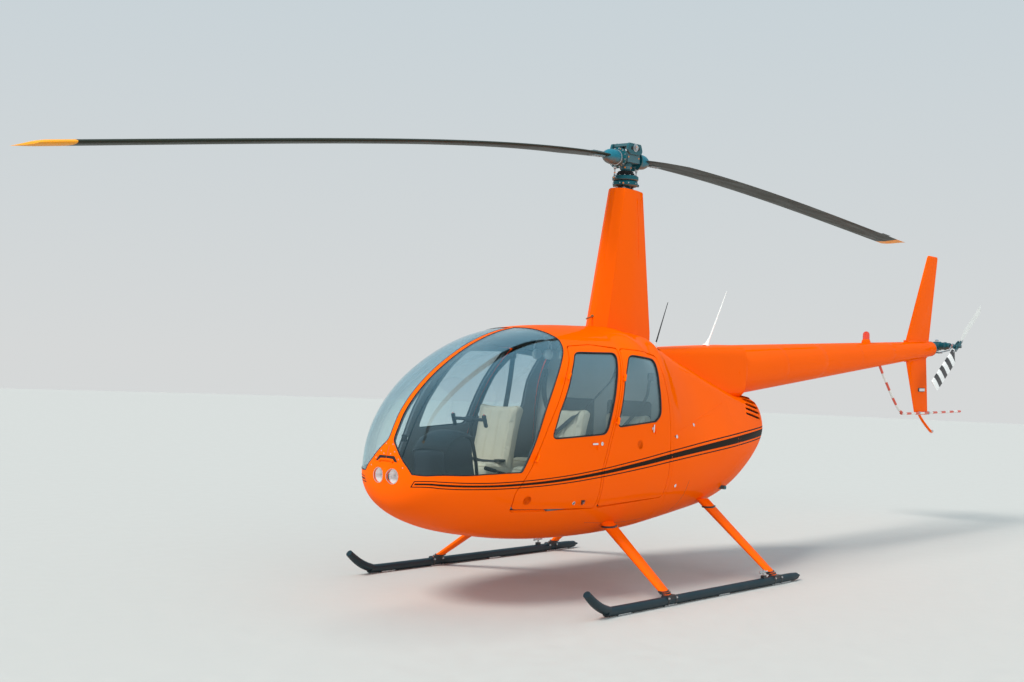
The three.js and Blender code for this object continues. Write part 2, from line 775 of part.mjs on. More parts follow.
function fin(points, yLow, yHigh) {
  const shape = roundedShape(points, 25);
  return solid(sidePrism(shape, yLow, yHigh, 2));
}
const UPPER_FIN = [
  [-5010, 1880],
  [-5610, 1880],
  [-5797, 2890],
  [-5535, 2890],
];
const LOWER_FIN = [
  [-5010, 1880 - GAP],
  [-5560, 1880 - GAP],
  [-5649, 1178],
  [-5319, 1178],
];
place("fin_upper", fin(UPPER_FIN, FIN_Y.low, FIN_Y.high).subtract(boomCutter), PAINT);
place("fin_lower", fin(LOWER_FIN, FIN_Y.low, FIN_Y.high).subtract(boomCutter), PAINT);

const STABILIZER = { x: [-5470, -5110], y: [-900, -50], z: 1860, thick: 34 };
const stabilizerShape = new THREE.Shape();
stabilizerShape.moveTo(STABILIZER.x[1], STABILIZER.z);
stabilizerShape.quadraticCurveTo(
  STABILIZER.x[1] - 30,
  STABILIZER.z + STABILIZER.thick,
  STABILIZER.x[0],
  STABILIZER.z + 3,
);
stabilizerShape.lineTo(STABILIZER.x[0], STABILIZER.z - 3);
stabilizerShape.quadraticCurveTo(
  STABILIZER.x[1] - 30,
  STABILIZER.z - STABILIZER.thick,
  STABILIZER.x[1],
  STABILIZER.z,
);
const stabilizer = solid(sidePrism(stabilizerShape, ...STABILIZER.y, 5)).subtract(boomCutter);
place("stabilizer", stabilizer, PAINT);

// Tail rotor gearbox on the boom's end, its output boss to port
const gearboxEnd = [TAIL_ROTOR.x, 0, BOOM.zBack + (BOOM.back - TAIL_ROTOR.x) * BOOM_SLOPE];
const gearboxFlange = [BOOM.back - 14, 0, BOOM.zBack + 14 * BOOM_SLOPE];
const gearbox = join(
  solid(bar([BOOM.back - GAP, 0, BOOM.zBack], gearboxFlange, 82, 80, 20)),
  solid(bar([BOOM.back - 5, 0, BOOM.zBack], gearboxEnd, 60, 46, 20)),
  solid(bar([TAIL_ROTOR.x, -40, TAIL_ROTOR.z], [TAIL_ROTOR.x, 150, TAIL_ROTOR.z], 55, 40, 20)),
);
place("tail_gearbox", gearbox, DARK_METAL);

const tailRotor = new THREE.Group();
tailRotor.position.set(TAIL_ROTOR.x, TAIL_ROTOR.y, TAIL_ROTOR.z);
tailRotor.rotation.y = -TAIL_BLADE_ANGLE;
helicopter.add(tailRotor);
const tailHub = join(
  solid(bar([0, -75 + GAP, 0], [0, 40, 0], 20, 20, 16)),
  solid(box([-95, -22, -24], [95, 22, 24])),
);
place("tail_rotor_hub", tailHub, DARK_METAL, tailRotor);
for (const [i, number] of ["1", "2"].entries()) {
  const arm = new THREE.Group();
  arm.rotation.y = i * Math.PI;
  tailRotor.add(arm);
  const rings = [
    [95 + GAP, 0.5],
    [190, 1],
    [TAIL_ROTOR.radius, 1],
  ].map(([radius, share]) =>
    BLADE_SECTION.map(
      ([along, up]) =>
        new THREE.Vector3(
          radius,
          up * TAIL_ROTOR.chord * 1.3,
          along * share * TAIL_ROTOR.chord,
        ).applyAxisAngle(new THREE.Vector3(1, 0, 0), TAIL_BLADE_PITCH),
    ),
  );
  place(`tail_rotor_blade_${number}`, solid(loft(rings)), WHITE, arm);
}

// Guard tube under the tail rotor, and the skid below the lower fin
const GUARD_Y = FIN_Y.high + 12 + GAP;
const GUARD = [
  [-4425, 8, 1695],
  [-4575, 20, 1530],
  [-4831, GUARD_Y, 1264],
  [-4920, GUARD_Y, 1206],
  [-5030, GUARD_Y, 1194],
  [-6450, GUARD_Y, 1214],
];
place("tail_guard", solid(tube(GUARD, 12, 26, 8)).subtract(boomCutter), RED);
const TAIL_SKID = [
  [-5447, (FIN_Y.low + FIN_Y.high) / 2, 1171],
  [-5560, (FIN_Y.low + FIN_Y.high) / 2, 1095],
  [-5740, (FIN_Y.low + FIN_Y.high) / 2, 1000],
  [-5785, (FIN_Y.low + FIN_Y.high) / 2, 997],
];
const finFoot = solid(box([-5700, -100, 1178 - GAP], [-5300, 100, 1300]));
place("tail_skid", solid(tube(TAIL_SKID, 14, 8, 8)).subtract(finFoot), PAINT);
place("beacon", solid(bar([-4240, 0, 1880], [-4240, 0, 2000], 38, 30, 16)).subtract(boomCutter), RED);
const fairingClear = rootFairing(-GAP);
const whip = (from, to, radius) => solid(bar(from, to, radius, 2, 8)).subtract(fairingClear);
place("antenna_tall", whip([-1218, 0, 1766], [-1508, 0, 2243], 9), WHITE);
place("antenna_short", whip([-464, 0, 1722], [-631, 0, 2097], 7), BLACK);

// Skids: a straight tube, turned up at the front, with a clamp and a wear shoe at each leg
const SHOE = { half: 75, width: 18, height: 15, drop: 3 }; // drop: below the tube
const SKID_Z = SKID_RADIUS + SHOE.drop;
// Columns: x, height of the tube's middle, radius
const SKID_LINE = [
  [SKID.back, SKID_Z, 9],
  [SKID.back + 140, SKID_Z, SKID_RADIUS],
  [SKID.bend, SKID_Z, SKID_RADIUS],
  [SKID.bend + 90, SKID_Z + 9, SKID_RADIUS],
  [SKID.bend + 170, SKID_Z + 36, SKID_RADIUS],
  [SKID.bend + 245, SKID_Z + 79, SKID_RADIUS - 2],
  [SKID.tip, SKID.rise, SKID_RADIUS - 6],
];

// A round tube in an upright plane at one Y, with a radius at each station.
function uprightTube(line, y, sides) {
  return loft(
    line.map(([x, z, radius], i) => {
      const [x0, z0] = line[Math.max(i - 1, 0)];
      const [x1, z1] = line[Math.min(i + 1, line.length - 1)];
      const across = new THREE.Vector3(-(z1 - z0), 0, x1 - x0).normalize();
      return Array.from({ length: sides }, (_, side) => {
        const angle = (2 * Math.PI * side) / sides;
        return new THREE.Vector3(x, y + radius * Math.cos(angle), z).addScaledVector(
          across,
          radius * Math.sin(angle),
        );
      });
    }),
  );
}

function skid() {
  const run = uprightTube(SKID_LINE, SKID_Y, 16);
  const clamps = [LEG_FRONT, LEG_BACK].flatMap(({ foot: [x, y] }) => [
    solid(box([x - 60, y - 36, 20], [x + 60, y + 36, 70])),
    solid(box([x - SHOE.half, y - SHOE.width, 0], [x + SHOE.half, y + SHOE.width, SHOE.height])),
  ]);
  return join(solid(run), ...clamps);
}

// A faired leg from the hull down to its clamp
function leg({ foot: [x, y], knee }) {
  const down = new THREE.Vector3(x, y - 22, 70 + GAP);
  const up = new THREE.Vector3(...knee);
  const ringAt = (centre, chord, thick) =>
    Array.from({ length: 12 }, (_, i) => {
      const angle = (2 * Math.PI * i) / 12;
      return new THREE.Vector3(
        centre.x + (chord / 2) * Math.cos(angle),
        centre.y + (thick / 2) * Math.sin(angle),
        centre.z,
      );
    });
  return solid(loft([ringAt(down, 97, 60), ringAt(up, 150, 72)])).subtract(clearForm);
}

for (const { side, flip } of SIDES) {
  place(`skid_${side}`, flip(geometryOf(skid())), SKID_PAINT);
  place(`leg_front_${side}`, flip(geometryOf(leg(LEG_FRONT))), PAINT);
  place(`leg_back_${side}`, flip(geometryOf(leg(LEG_BACK))), PAINT);
}

// Engine as one block, standing on the cowl's belly rails, and its exhaust
const engineRails = ENGINE.rails.map((x) =>
  solid(bar([x, -600, ENGINE.railZ], [x, 600, ENGINE.railZ], 16)),
);
const engine = join(solid(box(ENGINE.low, ENGINE.high)), ...engineRails);
place("engine_block", engine.intersect(bodyForm(COWL_WALL + GAP)), STEEL);

// Cabin inside
const roomForm = bodyForm(WALL + GAP);
const floorSlab = join(
  solid(box([FIREWALL_X + WALL + GAP, -700, FLOOR_TOP - 25], [2150, 700, FLOOR_TOP])),
  solid(box([1000, -560, FLOOR_TOP - 10], [1500, 560, 740])),
  solid(box([FIREWALL_X + WALL + GAP, -560, FLOOR_TOP - 10], [760, 560, 740])),
  solid(box([1490, -60, FLOOR_TOP - 10], [1700, 60, 720])),
);
place("cabin_floor", floorSlab.intersect(roomForm), CARPET);

const CONSOLE_SIDE = [
  [1700, FLOOR_TOP + GAP],
  [2040, FLOOR_TOP + GAP],
  [2040, 1010],
  [1900, 1090],
  [1780, 1070],
];
place("instrument_console", solid(sidePrism(roundedShape(CONSOLE_SIDE, 20), -140, 140, 2)), BLACK);

const tunnelTop = solid(box([1400, -100, 600], [1750, 100, 720 + GAP]));
const TBAR = [
  [1560, 0, 700],
  [1570, 0, 850],
  [1640, 0, 1080],
  [1655, 0, 1180],
];
const cyclic = join(
  solid(tube(TBAR, 14, 10, 8)).subtract(tunnelTop),
  solid(bar([1655, -240, 1180], [1655, 240, 1180], 12, 12, 10)),
);
place("cyclic_tbar", cyclic, DARK_METAL);

// Seats: cushion and leaning back as one padded piece
// Columns: row, x of the back's foot, cushion length
const SEATS = [
  { row: "front", x: 1070, length: 450 },
  { row: "rear", x: 275, length: 450 },
];
for (const { row, x, length } of SEATS)
  for (const { side, sign } of SIDES) {
    const lean = 70;
    const outline = [
      [x, 740 + GAP],
      [x + length, 740 + GAP],
      [x + length, 830],
      [x + 110, 840],
      [x + 110 - lean, 1300],
      [x - lean + 15, 1300],
    ];
    const width = 215;
    const cushion = sidePrism(roundedShape(outline, 25), sign * SEAT_Y - width, sign * SEAT_Y + width, 2);
    place(`seat_${row}_${side}`, solid(cushion).intersect(roomForm), LEATHER);
  }

export default helicopter;
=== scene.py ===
"""Looks of a light four-seat helicopter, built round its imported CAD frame.

Metres, +X forward, +Y port, +Z up. Every place below is measured from the rotor mast's axis at
ground height, as in the CAD source, and piece() moves it to the row's frame.
"""

import json
import math

import bmesh
import bpy
import numpy as np
from mathutils import Matrix, Vector
from mathutils.bvhtree import BVHTree
from mathutils.geometry import delaunay_2d_cdt

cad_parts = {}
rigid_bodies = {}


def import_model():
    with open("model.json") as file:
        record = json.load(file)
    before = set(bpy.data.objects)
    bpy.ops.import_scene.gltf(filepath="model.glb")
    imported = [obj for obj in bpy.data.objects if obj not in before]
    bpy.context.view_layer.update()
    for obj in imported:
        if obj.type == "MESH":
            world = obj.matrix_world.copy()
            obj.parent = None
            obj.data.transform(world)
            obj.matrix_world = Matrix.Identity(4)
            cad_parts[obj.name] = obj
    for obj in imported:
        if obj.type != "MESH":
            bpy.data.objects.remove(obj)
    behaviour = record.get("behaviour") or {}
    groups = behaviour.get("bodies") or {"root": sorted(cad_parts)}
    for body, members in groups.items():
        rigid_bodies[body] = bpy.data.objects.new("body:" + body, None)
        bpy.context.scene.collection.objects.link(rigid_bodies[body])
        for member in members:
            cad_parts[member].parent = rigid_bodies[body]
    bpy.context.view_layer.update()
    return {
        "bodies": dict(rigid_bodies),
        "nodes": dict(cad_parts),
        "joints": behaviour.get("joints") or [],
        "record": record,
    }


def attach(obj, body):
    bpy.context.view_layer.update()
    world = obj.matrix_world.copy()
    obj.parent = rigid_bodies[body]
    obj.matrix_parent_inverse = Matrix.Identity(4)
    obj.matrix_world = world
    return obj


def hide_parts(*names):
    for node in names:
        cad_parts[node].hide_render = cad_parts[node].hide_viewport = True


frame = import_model()

# Driving dimensions, as in the CAD source
MAST_X = 0.7555
WALL = 0.022
COWL_WALL = 0.012
PANE = 0.006
DOOR_GAP = 0.005
ROTOR_RADIUS = 5.03
BLADE_CHORD = 0.254
BLADE_ROOT = 0.42
ROTOR_HEIGHT = 3.15
BLADE_DROOP = (0.49, 0.325)  # forward blade first
TEETER = math.radians(1.79)
ROTOR_AZIMUTH = math.radians(2.63)
TAIL_ROTOR = Vector((-5.847, 0.225, 1.927))
TAIL_RADIUS = 0.735
TAIL_CHORD = 0.13
TAIL_BLADE_ANGLE = math.radians(-34)
TAIL_BLADE_PITCH = math.radians(17)
FIREWALL_X = 0.19
TAIL_SEAM_X = -0.95
FLOOR_TOP = 0.62
SKID_Y = 1.07
SKID_RADIUS = 0.03
SIDES = (("left", False, 1), ("right", True, -1))  # name, mirrored, sign of Y

# Camera: place, heading, tilt and roll, and the focal length that the photograph was solved to
CAMERA_AT = Vector((8.271, 6.051, 1.545))
CAMERA_YAW = math.radians(220.779)
CAMERA_PITCH = math.radians(1.057)
CAMERA_ROLL = math.radians(2.058)
CAMERA_LENS, CAMERA_SENSOR = 47.17, 36  # mm


# Materials

def plug(tree, socket, value):
    """Link a socket to another, or set its value."""
    if isinstance(value, bpy.types.NodeSocket):
        tree.links.new(value, socket)
    elif isinstance(value, tuple) and len(value) == 3 and socket.type == "RGBA":
        socket.default_value = (*value, 1)
    else:
        socket.default_value = value


class Finish:
    """A node material with a Principled shader, and short calls for the nodes that feed it."""

    def __init__(self, name, **values):
        self.material = bpy.data.materials.new(name)
        self.material.use_nodes = True
        self.tree = self.material.node_tree
        self.shader = self.tree.nodes["Principled BSDF"]
        self.place = self.node("TexCoord").outputs["Object"]
        self.set(**values)

    def set(self, **values):
        for name, value in values.items():
            plug(self.tree, self.shader.inputs[name.replace("_", " ")], value)
        return self

    def node(self, kind, settings=None, **values):
        made = self.tree.nodes.new("ShaderNode" + kind)
        for name, value in (settings or {}).items():
            setattr(made, name, value)
        for name, value in values.items():
            plug(self.tree, made.inputs[name.replace("_", " ")], value)
        return made

    def math(self, operation, a, b=0.0, clamp=False):
        made = self.node("Math", {"operation": operation, "use_clamp": clamp})
        plug(self.tree, made.inputs[0], a)
        plug(self.tree, made.inputs[1], b)
        return made.outputs[0]

    def axis(self, letter):
        return self.node("SeparateXYZ", Vector=self.place).outputs[letter]

    def noise(self, scale, detail=3.0, stretch=(1, 1, 1)):
        spread = self.node("Mapping", Vector=self.place, Scale=stretch)
        made = self.node("TexNoise", Vector=spread.outputs[0], Scale=scale, Detail=detail)
        return made.outputs[0]

    def between(self, value, low, high, start=0.0, end=1.0):
        """Map a value from low..high to start..end, held at its ends."""
        made = self.node("MapRange", Value=value)
        for name, number in zip(("From Min", "From Max", "To Min", "To Max"), (low, high, start, end)):
            made.inputs[name].default_value = number
        return made.outputs[0]

    def mix(self, share, first, second):
        made = self.node("Mix", {"data_type": "RGBA"})
        plug(self.tree, made.inputs[0], share)
        plug(self.tree, made.inputs[6], first)
        plug(self.tree, made.inputs[7], second)
        return made.outputs[2]

    def bump(self, height, strength, distance=0.001):
        made = self.node("Bump", Height=height, Strength=strength, Distance=distance)
        return self.set(Normal=made.outputs[0])

    def band(self, value, low, high):
        """1 where low < value < high."""
        above = self.math("GREATER_THAN", value, low)
        return self.math("MULTIPLY", above, self.math("LESS_THAN", value, high))

    def curve(self, value, low, high, points):
        """A smooth curve through points (value, result), results from 0 to 2."""
        made = self.node("FloatCurve", Value=self.between(value, low, high))
        line = made.mapping.curves[0].points
        placed = [((x - low) / (high - low), y / 2) for x, y in sorted(points)]
        while len(line) < len(placed):
            line.new(0.5, 0.5)
        for point, (x, y) in zip(line, placed):
            point.location = (x, y)
        made.mapping.update()
        return self.math("MULTIPLY", made.outputs[0], 2.0)


def shade(colour, factor):
    return tuple(min(1.0, c * factor) for c in colour)


def surface(name, colour, roughness, metallic=0.0, coat=0.0, grain=60.0, depth=0.05, uneven=0.12):
    """An everyday finish: a little uneven in colour and gloss, with a fine grain."""
    finish = Finish(name, Metallic=metallic, Coat_Weight=coat, Coat_Roughness=0.08)
    patches = finish.noise(7.0, 5.0)
    fine = finish.noise(grain, 2.0)
    tint = finish.mix(patches, shade(colour, 1 - uneven), shade(colour, 1 + uneven))
    finish.set(Base_Color=tint)
    finish.set(Roughness=finish.between(patches, 0.3, 0.7, roughness * 0.85, min(1.0, roughness * 1.15)))
    finish.bump(fine, depth)
    return finish.material


# Stripe along the cabin: height of its top and bottom edges against X
STRIPE_TOP = ((2.395, 0.814), (2.33, 0.820), (2.29, 0.818), (2.07, 0.812), (1.79, 0.82), (1.46, 0.84),
              (1.07, 0.876), (0.6, 0.932), (0.1, 0.994), (-0.58, 1.053), (-1.9, 1.13))
STRIPE_BOTTOM = ((2.395, 0.773), (2.33, 0.777), (2.29, 0.772), (2.07, 0.767), (1.79, 0.772), (1.46, 0.787),
                 (1.07, 0.816), (0.6, 0.858), (0.1, 0.907), (-0.58, 0.958), (-1.9, 1.03))
STRIPE_SPAN = (-1.9, 2.4)  # the X range of both curves
# The stripe's slanted end at the nose: its heights, the half widths there, and the line's width
STRIPE_NOSE = ((0.774, 0.814), (0.195, 0.221), 0.007)
STRIPE_BROWN = (0.018, 0.012, 0.008)
ORANGE = (1.0, 0.122, 0.0)
ORANGE_DEEP = (0.95, 0.108, 0.0)
DUST = (0.42, 0.16, 0.05)


def stripe_share(paint):
    """1 on the stripe: two thin lines, a band between them, and a slanted end at the nose."""
    x = paint.math("SUBTRACT", paint.axis("X"), MAST_X)
    z = paint.axis("Z")
    top = paint.curve(x, *STRIPE_SPAN, STRIPE_TOP)
    bottom = paint.curve(x, *STRIPE_SPAN, STRIPE_BOTTOM)
    up = paint.math("SUBTRACT", z, bottom)
    down = paint.math("SUBTRACT", top, z)
    width = paint.between(x, -1.8, 2.3, 0.010, 0.006)
    edges = paint.math("ADD", paint.band(up, 0.0, width), paint.band(down, 0.0, width))
    share = paint.math("DIVIDE", up, paint.math("SUBTRACT", top, bottom))
    off = paint.math("ABSOLUTE", paint.math("SUBTRACT", share, 0.5))
    middle = paint.math("LESS_THAN", off, paint.between(x, -1.6, 2.2, 0.29, 0.14))
    heights, half_widths, end_line = STRIPE_NOSE
    beyond = paint.math("SUBTRACT", paint.math("ABSOLUTE", paint.axis("Y")),
                        paint.between(z, *heights, *half_widths))
    tip = paint.math("MULTIPLY", paint.band(beyond, 0.0, end_line),
                     paint.math("GREATER_THAN", paint.math("MINIMUM", up, down), 0.0))
    middle = paint.math("MULTIPLY", middle, paint.math("GREATER_THAN", beyond, 2 * end_line))
    edges = paint.math("MULTIPLY", edges, paint.math("GREATER_THAN", beyond, 0.0))
    return paint.math("ADD", paint.math("ADD", edges, middle), tip, clamp=True)


def orange_paint(name, striped):
    """Gloss enamel with a clear coat, dust low down, and the dark stripe where the skin carries it."""
    paint = Finish(name, Coat_Weight=0.14, Coat_Roughness=0.04, Specular_IOR_Level=0.0)
    patches = paint.noise(1.6, 3.0)
    dust = paint.noise(30.0, 6.0)
    colour = paint.mix(patches, ORANGE_DEEP, ORANGE)
    low = paint.between(paint.axis("Z"), 0.45, 0.9, 0.10, 0.0)
    colour = paint.mix(paint.math("MULTIPLY", low, dust), colour, DUST)
    rough = paint.between(dust, 0.3, 0.75, 0.25, 0.32)
    if striped:
        colour = paint.mix(stripe_share(paint), colour, STRIPE_BROWN)
    paint.set(Base_Color=colour, Roughness=rough)
    paint.bump(paint.noise(5.0, 1.0), 0.012, 0.001)
    return paint.material


def clear_plastic(name, tint, mirrored, low_gloss, high_gloss):
    """A thin clear sheet. It mirrors more at a glancing angle, and higher up."""
    sheet = Finish(name, Metallic=1.0, Roughness=0.03)
    sheet.set(Base_Color=sheet.mix(sheet.noise(3.0, 2.0), shade(mirrored, 0.97), mirrored))
    through = sheet.node("BsdfTransparent", Color=sheet.mix(sheet.noise(3.0, 2.0), shade(tint, 0.97), tint))
    facing = sheet.node("LayerWeight", Blend=0.5).outputs["Facing"]
    rise = sheet.math("MULTIPLY", sheet.math("POWER", facing, 4.0), 0.85)
    gloss = sheet.between(sheet.axis("Z"), 0.95, 1.65, low_gloss, high_gloss)
    mirror = sheet.math("ADD", rise, gloss, clamp=True)
    mixed = sheet.node("MixShader")
    plug(sheet.tree, mixed.inputs[0], mirror)
    plug(sheet.tree, mixed.inputs[1], through.outputs[0])
    plug(sheet.tree, mixed.inputs[2], sheet.shader.outputs[0])
    plug(sheet.tree, sheet.tree.nodes["Material Output"].inputs[0], mixed.outputs[0])
    return sheet.material


def leather(name, colour):
    """Beige hide: pebbled grain from cells, soft sheen, darker in its creases."""
    hide = Finish(name, Sheen_Weight=0.15, Specular_IOR_Level=0.35)
    cells = hide.node("TexVoronoi", {"feature": "DISTANCE_TO_EDGE"}, Vector=hide.place, Scale=420.0)
    patches = hide.noise(9.0, 5.0)
    tint = hide.mix(patches, shade(colour, 0.84), shade(colour, 1.1))
    crease = hide.between(cells.outputs[0], 0.0, 0.25)
    hide.set(Base_Color=hide.mix(crease, shade(colour, 0.72), tint))
    hide.set(Roughness=hide.between(patches, 0.3, 0.7, 0.46, 0.62))
    hide.bump(crease, 0.25, 0.0004)
    return hide.material


def carpet(name, colour):
    """Cut pile: dark between its tufts, with a soft sheen."""
    pile = Finish(name, Sheen_Weight=0.3, Roughness=0.95)
    tufts = pile.noise(700.0, 2.0)
    pile.set(Base_Color=pile.mix(tufts, shade(colour, 0.6), shade(colour, 1.35)))
    pile.bump(tufts, 0.8, 0.003)
    return pile.material


BLADE_TIP_PAINT = 0.2  # length of the yellow tip
BLADE_DARK, BLADE_WORN, BLADE_YELLOW = (0.010, 0.013, 0.007), (0.026, 0.027, 0.015), (0.85, 0.33, 0.02)


def blade_paint(name):
    """Dark olive blades, a little uneven, with a yellow tip."""
    paint = Finish(name, Specular_IOR_Level=0.15)
    span = paint.node("Attribute", {"attribute_name": "along"}).outputs["Fac"]
    patches = paint.noise(6.0, 6.0, (0.3, 3, 3))
    colour = paint.mix(patches, BLADE_DARK, BLADE_WORN)
    tip = paint.math("GREATER_THAN", span, ROTOR_RADIUS - BLADE_TIP_PAINT)
    colour = paint.mix(tip, colour, BLADE_YELLOW)
    paint.set(Base_Color=colour, Roughness=paint.between(patches, 0.3, 0.7, 0.38, 0.55))
    paint.bump(paint.noise(120.0, 2.0), 0.05)
    return paint.material


def banded(name, attribute, width, first, second):
    """Two paints in turn along a piece, by its own length attribute."""
    paint = Finish(name, Coat_Weight=0.3)
    along = paint.node("Attribute", {"attribute_name": attribute}).outputs["Fac"]
    turn = paint.math("FRACT", paint.math("DIVIDE", along, 2 * width))
    patches = paint.noise(25.0, 4.0)
    colour = paint.mix(paint.math("GREATER_THAN", turn, 0.5), first, second)
    colour = paint.mix(paint.math("MULTIPLY", patches, 0.25), colour, (0.25, 0.2, 0.17))
    paint.set(Base_Color=colour, Roughness=paint.between(patches, 0.3, 0.7, 0.3, 0.5))
    paint.bump(paint.noise(200.0, 2.0), 0.04)
    return paint.material


GREASE = (0.22, 0.11, 0.045)
EDGE_WEAR = (0.30, 0.36, 0.38)


def cast_metal(name, colour, roughness):
    """Teal castings, rubbed paler on their edges, with brown grease on their undersides."""
    metal = Finish(name, Metallic=0.3, Specular_IOR_Level=0.2)
    patches = metal.noise(14.0, 6.0)
    edge = metal.between(metal.node("NewGeometry").outputs["Pointiness"], 0.53, 0.62)
    tint = metal.mix(patches, shade(colour, 0.75), shade(colour, 1.25))
    facing = metal.node("SeparateXYZ", Vector=metal.node("NewGeometry").outputs["Normal"])
    under = metal.between(facing.outputs[2], -0.75, -0.05, 0.85, 0.0)
    tint = metal.mix(metal.math("MULTIPLY", under, metal.between(patches, 0.25, 0.6)), tint, GREASE)
    metal.set(Base_Color=metal.mix(metal.math("MULTIPLY", edge, 0.45), tint, EDGE_WEAR))
    metal.set(Roughness=metal.between(patches, 0.3, 0.7, roughness * 0.8, roughness * 1.2))
    metal.bump(metal.noise(90.0, 3.0), 0.12)
    return metal.material


PAINT = orange_paint("orange_paint", False)
STRIPED = orange_paint("orange_paint_striped", True)
GLASS = clear_plastic("windshield_acrylic", (0.93, 0.975, 0.985), (0.66, 0.9, 0.98), 0.03, 0.2)
LENS = clear_plastic("lamp_lens", (0.98, 0.99, 1.0), (0.98, 0.99, 1.0), 0.03, 0.03)
LEATHER = leather("beige_leather", (0.72, 0.61, 0.46))
CARPET = carpet("grey_carpet", (0.09, 0.095, 0.1))
BLADE = blade_paint("rotor_blade_paint")
HEAD_METAL = cast_metal("rotor_head_metal", (0.008, 0.095, 0.118), 0.42)
BOOT = cast_metal("pitch_housing_metal", (0.008, 0.170, 0.235), 0.38)
STEEL = surface("bare_steel", (0.56, 0.57, 0.58), 0.28, metallic=0.95, grain=150.0)
BRASS = surface("weathered_brass", (0.42, 0.24, 0.09), 0.4, metallic=0.9, grain=90.0)
CHROME = surface("bright_metal", (0.82, 0.83, 0.85), 0.12, metallic=1.0, grain=200.0, depth=0.01)
REFLECTOR = surface("lamp_reflector", (0.93, 0.93, 0.90), 0.3, metallic=0.4, depth=0.01)
WITNESS = surface("orange_witness_paint", (0.85, 0.24, 0.03), 0.45)
BLACK = surface("black_plastic", (0.016, 0.017, 0.019), 0.45, grain=260.0, depth=0.12)
RUBBER = surface("black_rubber", (0.012, 0.012, 0.013), 0.7, grain=120.0)
TRIM = surface("cabin_trim", (0.46, 0.45, 0.43), 0.75, grain=320.0, depth=0.2)
LINING = surface("cabin_lining", (0.13, 0.14, 0.15), 0.75, grain=320.0, depth=0.2)
DARK_TRIM = surface("dark_cabin_trim", (0.035, 0.042, 0.050), 0.7, grain=320.0, depth=0.05)
SKID = surface("skid_paint", (0.003, 0.018, 0.026), 0.55, uneven=0.3)
WHITE = surface("white_paint", (0.78, 0.78, 0.75), 0.38, coat=0.3)
RED_LENS = surface("red_plastic", (0.75, 0.045, 0.01), 0.18, coat=0.8, grain=90.0)
ALLOY = surface("engine_alloy", (0.28, 0.29, 0.30), 0.5, metallic=0.8, grain=80.0, depth=0.3)
GUARD = banded("red_and_white_bands", "along", 0.11, (0.72, 0.06, 0.02), (0.8, 0.79, 0.75))
TAIL_BLADE = banded("black_and_white_bands", "along", 0.079, (0.008, 0.010, 0.013), (0.86, 0.86, 0.84))
HEADSET_GREY = surface("headset_grey", (0.42, 0.44, 0.46), 0.5)
WELT = surface("welt_cord", (0.50, 0.41, 0.29), 0.6, grain=500.0, depth=0.2)
WEBBING = surface("belt_webbing", (0.02, 0.021, 0.024), 0.72, grain=900.0, depth=0.4)
EXHAUST = surface("exhaust_steel", (0.24, 0.17, 0.12), 0.45, metallic=0.8, grain=60.0, uneven=0.35)
# The material slot of the record for each finish. piece() looks up its first finish here, unless it names
# another slot, but does nothing with the result
SLOT_FINISHES = {"orange_paint": (PAINT, STRIPED), "glazing": (GLASS, LENS), "leather": (LEATHER, WELT),
                 "carpet": (CARPET,), "blade_paint": (BLADE,), "head_metal": (HEAD_METAL,),
                 "skid_paint": (SKID,), "black_plastic": (BLACK, RUBBER, DARK_TRIM)}
SLOT_OF = {finish: slot for slot, finishes in SLOT_FINISHES.items() for finish in finishes}


# Shapes: points, faces, a material slot, and where known the normals and a length along the piece

class Shape:
    """Points and faces that can be moved, mirrored or given another slot before they join a piece."""

    def __init__(self, points, faces, normals=None, slot=0, along=None):
        self.points = np.asarray(points, float).reshape(-1, 3)
        self.faces = [tuple(int(i) for i in face) for face in faces]
        self.normals = normals
        self.slot = slot
        self.along = np.zeros(len(self.points)) if along is None else np.asarray(along, float)

    def moved(self, matrix):
        spin = np.array(matrix.to_3x3())
        points = self.points @ spin.T + np.array(matrix.translation)
        normals = None if self.normals is None else self.normals @ spin.T
        return Shape(points, self.faces, normals, self.slot, self.along)

    def mirrored(self):
        flip = np.array([1, -1, 1])
        normals = None if self.normals is None else self.normals * flip
        return Shape(self.points * flip, [face[::-1] for face in self.faces], normals, self.slot,
                     self.along)

    def painted(self, slot):
        return Shape(self.points, self.faces, self.normals, slot, self.along)


def added(name, data):
    """A new object in the scene."""
    made = bpy.data.objects.new(name, data)
    bpy.context.scene.collection.objects.link(made)
    return made


def shade_mesh(mesh, shapes, sharp):
    """Smooth shading: by the shapes' own normals, or with edges sharper than an angle kept sharp."""
    if all(shape.normals is not None for shape in shapes):
        mesh.shade_smooth()
        normals = np.concatenate([shape.normals for shape in shapes])
        mesh.normals_split_custom_set_from_vertices(normals.tolist())
    else:
        work = bmesh.new()
        work.from_mesh(mesh)
        bmesh.ops.remove_doubles(work, verts=work.verts, dist=2e-5)
        bmesh.ops.recalc_face_normals(work, faces=work.faces)
        work.to_mesh(mesh)
        work.free()
        mesh.shade_smooth()
        mesh.set_sharp_from_angle(angle=math.radians(sharp))


